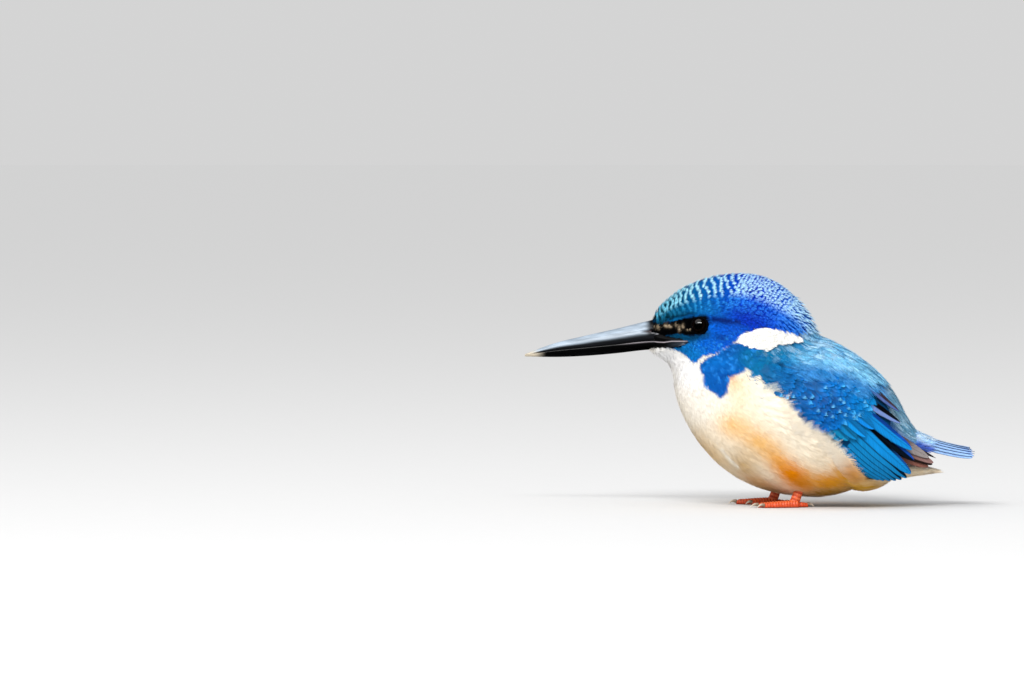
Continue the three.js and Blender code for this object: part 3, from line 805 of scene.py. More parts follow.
# ---- Growing feathers ----
@dataclass(frozen=True)
class Blade:
    """A flat pattern for one feather, laid out before it is bent onto the body.

    Attributes:
        along: 0 at the root to 1 at the tip, per point.
        across: -1 to 1 from one edge to the other.
        lift: height above the feather's own lie, in shares of its half width.
        tone: brightness, near 1.
        faces: faces of the pattern.
    """

    along: Array
    across: Array
    lift: Array
    tone: Array
    faces: tuple[Array, ...]

    @staticmethod
    def tuft(
        rng: Rng, barbs: int, joints: int = 4, foot: float = 0.6, fan: float = 0.9, slim: float = 0.12,
        contrast: float = 0.1,
    ) -> Blade:
        """A spray of tapered barbs. Each runs from the root to its own tip with a slight curl,
        and its width falls with the square of the way along.

        Args:
            rng: random numbers.
            barbs, joints: how many barbs, and pieces along each.
            foot, fan: spread of the roots and of the tips, 1 for the full width.
            slim: half width of a barb, as a share of the tuft's half width.
            contrast: spread of the barbs' brightness.

        Returns:
            The pattern.
        """
        side = np.linspace(-1, 1, barbs) + rng.uniform(-0.12, 0.12, barbs)
        reach = (1 - 0.25 * side**2 - rng.uniform(0, 0.16, barbs))[:, None]
        t = np.linspace(0, 1, joints + 1)
        curl = rng.uniform(-0.12, 0.12, (barbs, 1)) * np.sin(np.pi * t)
        middle = side[:, None] * (foot + (fan - foot) * t) + curl
        half = slim * (1.05 - t**2) * rng.uniform(0.8, 1.2, (barbs, 1))
        across = np.stack([middle - half, middle + half], -1).reshape(barbs, -1)[:, :-1]
        across[:, -1] = middle[:, -1]
        along = np.repeat(reach * t, 2, 1)[:, :-1]
        lift = rng.uniform(-0.12, 0.12, (barbs, 1)) * along - 0.25 * across**2 * along
        tone = np.broadcast_to(1 + contrast * rng.uniform(-1, 1, (barbs, 1)), along.shape)
        start = (np.arange(barbs) * (2 * joints + 1))[:, None, None]
        j = np.arange(joints - 1)[None, :, None] * 2
        quads = (start + j + np.array([0, 1, 3, 2])).reshape(-1, 4)
        tips = start[:, 0] + (joints - 1) * 2 + np.array([0, 1, 2])
        return Blade(along.ravel(), across.ravel(), lift.ravel(), tone.ravel(), (quads, tips))

    @staticmethod
    def vane(rng: Rng, rows: int, columns: int, blunt: float, fray: float) -> Blade:
        """A firm cambered vane with a low shaft and a frayed edge. Its half width at t is
        (1 - t^blunt)^0.5, narrowing again at the root.

        Args:
            rng: random numbers.
            rows, columns: size of the grid; columns is odd.
            blunt: how square the tip is.
            fray: unevenness of the edge.

        Returns:
            The pattern.
        """
        t = np.linspace(0, 1, rows) ** 0.8
        b = np.linspace(-1, 1, columns)
        half = np.sqrt(np.clip(1 - t**blunt, 0.01, 1)) * (0.55 + 0.45 * ease(t, 0, 0.35))
        edge = 1 - fray * rng.uniform(0, 1, (rows, columns)) * (np.abs(b) > 0.9)
        across = half[:, None] * b * edge
        back = 1 - fray * rng.uniform(0, 1, (1, columns))
        along = np.broadcast_to(t[:, None], across.shape) - 0.1 * b**2 * t[:, None]
        along = np.clip(along * np.where(t[:, None] > 0.8, back, 1), 0, 1)
        lift = -0.2 * across**2 + 0.04 * (np.abs(b) < 0.01)
        tone = 1 + 0.02 * rng.normal(size=across.shape) - 0.12 * (np.abs(b) < 0.01)
        i, j = np.meshgrid(np.arange(rows - 1) * columns, np.arange(columns - 1), indexing="ij")
        quads = np.stack([i + j, i + j + columns, i + j + columns + 1, i + j + 1], -1).reshape(-1, 4)
        return Blade(along.ravel(), across.ravel(), lift.ravel(), tone.ravel(), (quads[:, ::-1],))


def several(count: int, make: Callable[..., Blade], rng: Rng, **shape: float) -> tuple[Blade, ...]:
    """Makes some patterns of one kind, each a little different.

    Args:
        count: how many.
        make: Blade.tuft or Blade.vane.
        rng: random numbers.
        **shape: what the maker takes.

    Returns:
        The patterns.
    """
    return tuple(make(rng, **shape) for _ in range(count))


@dataclass
class Roots:
    """Where feathers grow.

    Attributes:
        s, phi: stations and degrees on the form.
        chance: a random number for each, from 0 to 1.
        turn: extra degrees towards the belly.
        scale: share of the full length.
        lift: extra height of the tips in mm; the roots take most of it.
    """

    s: Array
    phi: Array
    chance: Array
    turn: Array
    scale: Array
    lift: Array

    @staticmethod
    def at(s: Array, phi: Array, rng: Rng) -> Roots:
        """Roots at given stations and angles."""
        s, phi = s.ravel(), phi.ravel()
        zero = np.zeros(s.size)
        return Roots(s, phi, rng.uniform(0, 1, s.size), zero, zero + 1, zero)

    def keep(self, which: Array) -> Roots:
        """Only those chosen by a mask."""
        return Roots(*(getattr(self, f.name)[which] for f in fields(self)))

    def seen_from_side(self, form: Form) -> tuple[Array, Array]:
        """The roots' y and z."""
        p = form.point(self.s, self.phi)
        return p[:, 1], p[:, 2]

    @staticmethod
    def scatter(
        form: Form, s_span: Span, phi_span: Span, gap: float, rng: Rng, jitter: float = 0.45
    ) -> Roots:
        """Even rows over a patch on both sides, each spaced by the area that it has to cover.

        Args:
            form: the surface.
            s_span, phi_span: the patch, in stations and positive degrees.
            gap: distance between roots in mm.
            rng: random numbers.
            jitter: how far a root strays, as a share of the gap.

        Returns:
            The roots.
        """
        samples = np.linspace(*phi_span, 181)
        middle = np.full(samples.shape, np.mean(s_span))
        reach = np.linalg.norm(form.slopes(middle, samples)[0], axis=-1).mean()
        rows = max(1, round((s_span[1] - s_span[0]) * reach / gap))
        step = (s_span[1] - s_span[0]) / rows
        found = []
        for row in range(2 * rows):
            s = s_span[0] + (row // 2 + 0.5) * step
            along, around, _ = form.slopes(np.full(samples.shape, s), samples)
            area = np.linalg.norm(np.cross(along, around), axis=-1) * step / gap**2
            total = np.concatenate([[0], np.cumsum((area[1:] + area[:-1]) / 2 * np.diff(samples))])
            count = int(total[-1] + rng.uniform())
            marks = np.arange(count) + rng.uniform() + rng.uniform(-jitter, jitter, count)
            phi = np.interp(marks, total, samples) * (1 if row % 2 else -1)
            found.append(np.stack([s + rng.uniform(-jitter, jitter, count) * step, phi]))
        return Roots.at(*np.concatenate(found, 1), rng)

    @staticmethod
    def crossbars(form: Form, bars: Array, reach: float, gap: float, rng: Rng) -> Roots:
        """Roots in wavy bars across the crown. A bar is where y + lean (z - height) has its
        number, found as the nearest of many stations at each angle.

        Args:
            form: the surface.
            bars: the bars' numbers in mm.
            reach: the greatest angle.
            gap: degrees between roots.
            rng: random numbers.

        Returns:
            The roots.
        """
        phi = np.arange(-reach, reach, gap)
        k = np.linspace(-0.2, 6.5, 1200)
        grid = form.point(*np.meshgrid(k, phi, indexing="ij"))
        q = grid[..., 1] + BAR_LEAN * (grid[..., 2] - BAR_HEIGHT)
        s = k[np.argmin(np.abs(q[None] - bars[:, None, None]), 1)]
        wave = 0.05 * np.sin(np.radians(phi) * 9 + rng.uniform(0, 6, (len(bars), 1)))
        s = s + wave + rng.uniform(-0.04, 0.04, s.shape)
        return Roots.at(s, phi + rng.uniform(-0.4, 0.4, s.shape) * gap, rng)

    @staticmethod
    def seen(form: Form, y: Array, z: Array, rng: Rng) -> Roots:
        """Roots on both sides at places given as seen from the side."""
        s, phi = form.locate(y, z)
        return Roots.at(np.concatenate([s, s]), np.concatenate([phi, -phi]), rng)


@dataclass(frozen=True)
class Growth:
    """How the feathers of one tract are shaped and how they lie.

    Attributes:
        blades: flat patterns, picked at random.
        paint: their colours.
        length, width: in mm, as tables with one entry per station.
        depth: how far below the form the roots are, in mm.
        rise: height of the tips above the form, as such a table.
        power: shape of the rise from root to tip.
        rough: spread of the tips' heights.
        stray: spread of directions in degrees.
        heading: degrees above straight back as seen from the side, or None for the body's lie.
        root_shade: brightness of the roots.
        place: share of the way from tip to point at which colours are read.
        inside: (y, z) outline that the tips keep to.
        margin: how far they may leave it.
        clear: (y, z) outline that only the feathers' feet may enter.
    """

    blades: tuple[Blade, ...]
    paint: Painter = Markings.body
    length: Table = (3.0,)
    width: Table = (1.2,)
    depth: float = 1.0
    rise: Table = (0.1,)
    power: float = 0.8
    rough: float = 0.12
    stray: float = 6.0
    heading: Path | None = None
    root_shade: float = 0.75
    place: float = 0.25
    inside: Path | None = None
    margin: float = 0.0
    clear: Path | None = None

    @staticmethod
    def table(values: Table, s: Array) -> Array:
        """Reads a table with one entry per station; the last one holds for the rest."""
        if len(values) == 1:
            return np.full(s.shape, values[0])
        return curve(values, np.clip(s, 0, len(values) - 1))


BAKE_PATCH = 0.003  # share of the bake map's side that one feather takes


@dataclass
class Coat:
    """One piece of plumage grown on forms.

    Attributes:
        name: the piece's name.
        chart: stations and angles that the bake map covers.
        rng: random numbers.
    """

    name: str
    chart: tuple[float, float, float, float]
    rng: Rng
    parts: Pieces = field(init=False)

    def __post_init__(self) -> None:
        """Starts an empty mesh."""
        self.parts = Pieces(self.name)

    def grow(self, form: Form, roots: Roots, how: Growth) -> None:
        """Bends patterns onto the form. A point at (along, across) is carried that far over the
        surface from its root, and its height goes from -depth to rise as along^power.

        Args:
            form: the surface.
            roots: where they grow.
            how: their shape and lie.
        """
        pick = self.rng.integers(0, len(how.blades), len(roots.s))
        for number, blade in enumerate(how.blades):
            if (pick == number).any():
                self._bend(form, roots.keep(pick == number), blade, how)

    def _bend(self, form: Form, r: Roots, blade: Blade, how: Growth) -> None:
        """Grows every feather that uses one pattern, as whole arrays.

        Args:
            form, how: as in grow.
            r: their roots.
            blade: the pattern.
        """
        rng, n = self.rng, len(r.s)
        along, around, normal = form.slopes(r.s, r.phi)
        sign = np.where(r.phi < 0, -1.0, 1.0)
        lie = unit(along)
        if how.heading:
            root = form.point(r.s, r.phi)
            degrees = np.interp(root[:, 1], [y for y, _ in how.heading], [a for _, a in how.heading])
            way = np.stack([0 * degrees, np.cos(np.radians(degrees)), np.sin(np.radians(degrees))], -1)
            lie = unit(way - dot(way, normal)[:, None] * normal)
        side = np.cross(normal, lie)
        down = np.sign(dot(side, around)) * sign
        angle = np.radians(r.turn * down + rng.normal(0, how.stray, n))[:, None]
        lie, side = lie * np.cos(angle) + side * np.sin(angle), side * np.cos(angle) - lie * np.sin(angle)
        g11, g12, g22 = dot(along, along), dot(along, around), dot(around, around)
        det = g11 * g22 - g12**2

        def carried(way: Array) -> tuple[Array, Array]:
            """Stations and degrees per mm in a direction."""
            a, b = dot(way, along), dot(way, around)
            return ((g22 * a - g12 * b) / det)[:, None], ((g11 * b - g12 * a) / det)[:, None]

        (ls, lp), (ws, wp) = carried(lie), carried(side)
        length = (how.table(how.length, r.s) * r.scale * rng.uniform(0.85, 1.15, n))[:, None]
        half = (how.table(how.width, r.s) / 2)[:, None]
        a, b = blade.along * length, blade.across * half
        s, phi = r.s[:, None] + a * ls + b * ws, r.phi[:, None] + a * lp + b * wp
        tip = how.table(how.rise, r.s) + rng.uniform(-how.rough, how.rough, n)
        height = (how.depth + tip)[:, None] * blade.along**how.power - how.depth + blade.lift * half
        height = height + r.lift[:, None] * (0.75 + 0.25 * blade.along)
        p = form.point(s, phi) + normal[:, None] * height[..., None]
        ends = form.point(r.s[:, None] + length * ls, r.phi[:, None] + length * lp)
        if how.inside or how.clear:
            fits = np.ones(n, bool)
            if how.inside:
                fits &= inside(ends[:, 0, 1], ends[:, 0, 2], how.inside) > -how.margin
            if how.clear:
                fits &= ((inside(p[..., 1], p[..., 2], how.clear) < 0.1) | (blade.along < 0.4)).all(1)
            p, ends, s, phi, a, b = (v[fits] for v in (p, ends, s, phi, a, b))
            r, n = r.keep(fits), int(fits.sum())
        at = ends + (p - ends) * how.place
        chance, t = np.broadcast_arrays(r.chance[:, None], blade.along)
        shade = blade.tone * (how.root_shade + (1 - how.root_shade) * ease(blade.along, 0.2, 0.8))
        tint = how.paint(Spot.at(at, s, phi, chance, t)) * shade[None, :, None]
        s0, s1, p0, p1 = self.chart
        root = np.stack([(r.s - s0) / (s1 - s0), (r.phi - p0) / (p1 - p0)], -1)
        patch = np.stack([blade.across * 0.5, blade.along - 0.5], -1) * BAKE_PATCH
        chart = np.clip(root, 0.002, 0.998)[:, None] + patch
        shift = (np.arange(n) * len(blade.along))[:, None, None]
        faces = [(f[None] + shift).reshape(-1, f.shape[1]) for f in blade.faces]
        blocks = (v.reshape(-1, v.shape[-1]) for v in (tint, chart, np.stack([b, a], -1)))
        self.parts.add(p.reshape(-1, 3), faces, *blocks)

    def build(self, finish: Finish, slot: str, *nodes: str) -> bpy.types.Object:
        """Makes the piece."""
        return self.parts.build(finish, slot, *nodes, chart=True)


# ---- Skin ----
def focused(low: float, high: float, count: int, places: tuple[tuple[float, float, float], ...]) -> Array:
    """Rising numbers, closer together near some places.

    Args:
        low, high: the range.
        count: how many.
        places: (place, spread, strength) of each.

    Returns:
        The numbers.
    """
    x = np.linspace(low, high, 4000)
    density = 1 + sum(strength * bump(x, place, spread) for place, spread, strength in places)
    total = np.concatenate([[0], np.cumsum((density[1:] + density[:-1]) / 2)])
    return np.interp(np.linspace(0, total[-1], count), total, x)


@dataclass(frozen=True)
class Socket:
    """Where the left eye sits.

    Attributes:
        centre: middle of the ball in mm.
        axis: its outward way.
    """

    centre: Array
    axis: Array

    def around(self, p: Array) -> tuple[Array, Array]:
        """Finds where points are about the nearer eye.

        Args:
            p: points on either side.

        Returns:
            Height along the eye's axis, and distance from it.
        """
        d = p * to_left(p[..., :1]) - self.centre
        out = d @ self.axis
        return out, np.linalg.norm(d - out[..., None] * self.axis, axis=-1)


def tucked(s: Array, phi: Array) -> Array:
    """How far the underside behind the vent is drawn in, in mm."""
    return 2.7 * ease(s, 11.0, 14.4) * ease(np.abs(phi), 92, 125)


@dataclass
class Skin:
    """The bird's skin in one piece, under the coat, with lids round the eyes.

    Attributes:
        socket: the left eye's place.
        rows, columns: size of its grid.
        lid_radius: of the opening between the lids.
        lid_height: of the lids' rim over the ball.
    """

    socket: Socket
    rows: int = 230
    columns: int = 250
    lid_radius: float = 2.62
    lid_height: float = 0.16

    @staticmethod
    def depth(s: Array, phi: Array) -> Array:
        """Depth of the coat: thin on the face and under the wing, deep on the breast and belly.

        Args:
            s, phi: stations and degrees.

        Returns:
            Depths in mm.
        """
        a = np.abs(phi)
        deep = curve((0.7, 0.9, 1.0, 1.1, 1.3, 1.5, 1.7, 1.8) + (1.9,) * 6 + (1.8, 1.5, 1.2), s)
        face = np.exp(-(((s - 2.9) / 1.3) ** 2) - ((a - 92) / 34) ** 2)
        wing = ease(a, 38, 48) * (1 - ease(a, 84, 94)) * ease(s, 7, 8.5)
        deep = (deep + 0.6 * ease(a, 95, 150) * ease(s, 1.5, 5)) * (1 - 0.28 * face) * (1 - 0.75 * wing)
        return deep + tucked(s, phi)

    def build(self) -> None:
        """Builds the grid, sinks it by the coat's depth, and forms the lids."""
        s = focused(-0.3, 16.2, self.rows, ((EYE_STATION, 0.62, 14),))
        phi = focused(-180, 180, self.columns + 1, ((EYE_ANGLE, 20, 9), (-EYE_ANGLE, 20, 9)))[:-1]
        ss, pp = np.meshgrid(s, phi, indexing="ij")
        surface = BODY.point(ss, pp)
        p, far = self._lids(surface - BODY.slopes(ss, pp)[2] * self.depth(ss, pp)[..., None])
        chance = np.random.default_rng(Seed.SKIN).uniform(0.3, 0.6, ss.shape)
        tint = Markings.body(Spot.at(surface, ss, pp, chance, np.full(ss.shape, 0.5)))
        # painted shade: the skin is seen only in gaps of the coat, so it takes the markings darkened, least
        # where they are pale
        tint = tint * (0.55 + 0.37 * ease(tint.mean(-1), 0.3, 0.6))[..., None]
        tint = over(tint, "#070708", 1 - ease(far, 4.4, 5.0))
        points, faces = lofted(p)
        parts = Pieces("skin")
        parts.add(points, faces, with_poles(tint))
        parts.build(SKIN, "belly_feathers", "head", "neck", "back", "trunk", "rump")

    def _lids(self, p: Array) -> tuple[Array, Array]:
        """Shapes the skin round the eyes. Height along an eye's axis, as a function of the
        distance from it, is the ball's plus the lid's thickness out to the lid's edge, and falls
        under the ball inside it.

        Args:
            p: the skin's points.

        Returns:
            The moved points, and their distances from the nearer axis.
        """
        out, r = self.socket.around(p)
        ball = np.sqrt(np.clip(EYE_RADIUS**2 - r**2, 0, None))
        rim = bump(r - self.lid_radius, 0.3, 0.45)
        target = np.maximum(out, np.maximum(ball, out - 0.2) + self.lid_height * rim)
        hidden = ball - 0.55
        t = ease(r, self.lid_radius - 0.1, self.lid_radius + 0.1)
        fade = 1 - ease(r, 3.6, 4.6)
        lids, around = mix(hidden, target, t), mix(out, target, fade)
        height = np.where(r < self.lid_radius + 0.1, lids, around)
        near_eye = (out > -1) & (r < 5)
        axis = to_left(p[..., :1]) * self.socket.axis
        moved = p + (np.where(near_eye, height, out) - out)[..., None] * axis
        return moved, np.where(near_eye, r, 9)


# ---- Eyes and bill ----
@dataclass
class Eyes:
    """The two eyeballs.

    Attributes:
        socket: the left eye's place.
        radius: of the ball.
        rings, sides: size of each ball's grid.
        pupil, iris: radii in mm.
    """

    socket: Socket
    radius: float = EYE_RADIUS - 0.02
    rings: int = 40
    sides: int = 48
    pupil: float = 1.5
    iris: float = 2.5

    def build(self) -> None:
        """Builds each ball about its solid's middle: a sphere with its pole on the eye's axis."""
        for side, sign in SIDES:
            mirror = np.array([sign, 1, 1])
            n = unit(self.socket.axis * mirror)
            a = unit(np.cross(n, [0, 0, 1.0]))
            b = np.cross(n, a)
            polar = np.linspace(0.02, np.pi - 0.02, self.rings)[:, None, None]
            turn = around_ring(self.sides)[None, :, None]
            ring = np.cos(polar) * n + np.sin(polar) * (np.cos(turn) * a + np.sin(turn) * b)
            points, faces = lofted(self.socket.centre * mirror + self.radius * ring)
            far = np.broadcast_to(np.sin(polar) * self.radius, (*ring.shape[:2], 1))
            stops = ((0, "#010101"), (self.pupil, "#010101"), (self.pupil + 0.2, "#0d0705"),
                     (self.iris, "#030202"))
            parts = Pieces(f"eyeball_{side}")
            parts.add(points, faces, ramp(with_poles(far)[:, 0], stops))
            parts.build(EYE_WET, "eye", f"eye_{side}")


@dataclass
class Bill:
    """The long dagger bill, in two halves that meet on the cutting edge, and the bare skin of
    the gape behind it.

    Attributes:
        root_y, face_y, tip_y: inside the head, where the feathers end, and the tip.
        half_width: at the feathers.
        ridge, edge, keel: heights along the bill, from inside the head to the tip.
        rows, sides: size of the grid.
    """

    root_y: float = -28.0
    face_y: float = -36.0
    tip_y: float = -78.6
    half_width: float = 4.2
    ridge: Table = (66.8, 64.7, 62.1, 59.7, 57.1, 53.2)
    edge: Table = (58.1, 57.8, 56.7, 55.6, 54.5, 52.9)
    keel: Table = (55.2, 54.7, 53.5, 52.6, 52.2, 52.4)
    rows: int = 170
    sides: int = 56

    def _half(self, upper: bool) -> Block:
        """One half: at each y a dome over the cutting edge, x = w cos(t)^p and z = h sin(t)^q,
        with a nostril slit sunk into the upper one and a groove running forward from it.

        Args:
            upper: whether it is the upper half.

        Returns:
            Points, faces and tints.
        """
        y = self.root_y + (self.tip_y - self.root_y) * np.linspace(0, 1, self.rows) ** 0.9
        out = np.clip((self.face_y - y) / (self.face_y - self.tip_y), 0, 1)
        k = 1 + 4 * out - np.clip((y - self.face_y) / 9, 0, None)
        edge = curve(self.edge, k) + (0.02 if upper else -0.02)
        height = curve(self.ridge if upper else self.keel, k) - edge
        inside_head = np.clip(y - self.face_y, 0, 4)
        half = self.half_width * (1 - out) ** 0.85 + 0.38 + 0.36 * inside_head
        angle = np.linspace(0, np.pi, self.sides)
        x = half[:, None] * np.sign(np.cos(angle)) * np.abs(np.cos(angle)) ** 1.25
        z = edge[:, None] + height[:, None] * np.sin(angle) ** (0.62 if upper else 0.8)
        yy = np.broadcast_to(y[:, None], x.shape)
        share = (z - edge[:, None]) / height[:, None]
        if upper:
            tint, scale = self._dress_upper(yy, z, share)
            x = x * scale
        else:
            tint = self._dress_lower(yy, share)
        floor = np.stack([0 * y, y, edge - (0.25 if upper else -0.25) * (1 - out)], -1)[:, None]
        points, faces = lofted(np.concatenate([np.stack([x, yy, z], -1), floor], 1))
        return points, faces, with_poles(np.concatenate([tint, tint[:, :1]], 1))

    @staticmethod
    def _dress_upper(y: Array, z: Array, share: Array) -> tuple[Array, Array]:
        """Colours and relief of the upper half: slate flanks, their upper part painted pale as a
        reflection of light from above, a dark nostril slit with a flap whose pale edge is a painted
        highlight, and a horn-coloured tip.

        Args:
            y, z: places in mm.
            share: height over the cutting edge, from 0 to 1 at the ridge.

        Returns:
            Tints, and what the half width is multiplied by.
        """
        # painted reflection: the upper half of the black horn is painted pale grey-blue, standing in for
        # light reflected from above
        painted_reflection = ease(share, 0.28, 0.52) * ease(-y, 34.5, 37)
        tint = over(flat("#121418", y.shape), "#9eacba", painted_reflection * 0.92)
        tint = over(tint, "#0b0c0f", 0.8 * (1 - ease(share, 0.05, 0.2)))
        slit = np.exp(-(((y + 34.6) / 2.9) ** 4) - ((z - 61.35 - 0.05 * (y + 34.5)) / 0.36) ** 2)
        flap = np.exp(-(((y + 32.9) / 1.6) ** 4) - ((z - 60.65 + 0.2 * (y + 32.8)) / 0.22) ** 2)
        groove = bump(share, 0.56, 0.06) * ease(y, -62, -42)
        # painted highlight: the pale line on the nostril flap stands in for light catching its edge
        tint = over(over(tint, "#2e1718", slit), "#a9a9ae", flap * 0.8)
        tint = over(tint, "#cfc3ad", ease(-y, 73, 77.5) * 0.92)
        return tint, 1 - 0.16 * slit - 0.03 * groove + 0.05 * flap

    @staticmethod
    def _dress_lower(y: Array, share: Array) -> Array:
        """Colours of the lower half: near black, with a painted highlight along the cutting edge, and a pale
        tip.

        Args:
            y: places in mm.
            share: depth under the cutting edge, from 0 to 1 at the keel.

        Returns:
            Tints.
        """
        tint = over(flat("#050506", y.shape), "#101114", ease(share, 0.5, 1.0) * ease(-y, 40, 60))
        # painted highlight: a pale line along the cutting edge, where light catches it
        cutting = bump(share, 0, 0.09) * ease(y, -48, -38)
        tint = over(tint, "#9a9298", cutting * 0.8)
        return over(tint, "#cfc3ad", ease(-y, 71, 76.0) * 0.85)

    @staticmethod
    def _gape(mirror: Array) -> Block:
        """Bare skin from the bill back towards the eye: a low cushion over the face between the
        outline's upper and lower lines, with the rim of the mouth raised along it and a painted highlight
        drawn pale on that rim.

        Args:
            mirror: (1, 1, 1) on the left, (-1, 1, 1) on the right.

        Returns:
            Points, faces and tints.
        """
        y = np.linspace(-36.6, -21.2, 110)
        top = np.interp(y, [-37, -33, -29, -25, -21.2], [61.0, 60.6, 59.7, 59.2, 58.3])
        low = np.interp(y, [-37, -31, -26, -23, -21.2], [55.1, 55.1, 55.9, 57.0, 58.1])
        b = np.linspace(0, 1, 60)
        zz = low[:, None] + (top - low)[:, None] * b
        yy = np.broadcast_to(y[:, None], zz.shape)
        s, phi = (v.reshape(yy.shape) for v in BODY.locate(yy.ravel(), zz.ravel()))
        rim = bump(near(yy, zz, GAPE_RIM), 0, 0.16)
        ends = ease(-y, 20.9, 23.5) * (1 - ease(-y, 31.5, 35.5))
        edge = np.minimum(ease(b, 0, 0.25), ease(-b, -1, -0.75)) * ends[:, None]
        lift = -0.8 + 0.82 * edge + 0.12 * rim * ends[:, None]
        normal = BODY.slopes(s, phi)[2]
        face = BODY.point(s, phi)
        tint = over(flat("#060607", yy.shape), "#38414d", 0.8 * ease(yy, -30, -25) * (1 - b))
        # painted highlight: the rim's pale line stands in for light along the edge of the mouth
        tint = over(tint, "#b4aab0", 0.9 * rim * ease(-yy, 21.5, 23))
        fold = bump(near(yy, zz, ((-25.2, 55.9), (-23.4, 57.0))), 0, 0.4)
        tint = over(tint, "#9aa0aa", 0.75 * fold)
        outer, inner = (face + normal * (lift - deep)[..., None] for deep in (0, 0.5))
        points, faces = lofted(np.concatenate([outer, inner[:, ::-1]], 1) * mirror)
        return points, faces, with_poles(np.concatenate([tint, tint[:, ::-1]], 1))

    def build(self) -> None:
        """Makes both halves and the gape."""
        for name, upper in (("upper", True), ("lower", False)):
            parts = Pieces(f"bill_sheath_{name}")
            parts.add(*self._half(upper))
            parts.build(BILL_HORN, "bill_horn", f"bill_{name}")
        parts = Pieces("gape_skin")
        for _, sign in SIDES:
            parts.add(*self._gape(np.array([sign, 1, 1])))
        parts.build(GAPE_SKIN, "bill_horn")


# ---- Soft plumage ----
def clear_of_eyes(r: Roots, socket: Socket, clearance: float = 3.1) -> Roots:
    """Drops roots on the lids, and shortens and turns those in front of the eye so that they
    pass round it.

    Args:
        r: the roots.
        socket: the left eye's place.
        clearance: radius kept clear.

    Returns:
        The roots that stay.
    """
    mirror = to_left(r.phi[:, None])
    d = BODY.point(r.s, r.phi) * mirror - socket.centre
    d = d - (d @ socket.axis)[:, None] * socket.axis
    far = np.linalg.norm(d, axis=1)
    toward = -dot(unit(d), unit(BODY.slopes(r.s, r.phi)[0]) * mirror)
    bend = np.clip(toward, 0, 1) * (1 - ease(far, clearance + 0.4, clearance + 3.5)) * 62
    r.turn = r.turn + np.sign(-d[:, 2] + 0.25 * d[:, 1]) * bend
    close = 1 - ease(far, clearance + 0.2, clearance + 3.0)
    r.scale = r.scale * (1 - 0.5 * close * np.clip(toward + 0.3, 0, 1))
    return r.keep(far > clearance + 0.25 * np.clip(toward, 0, 1))


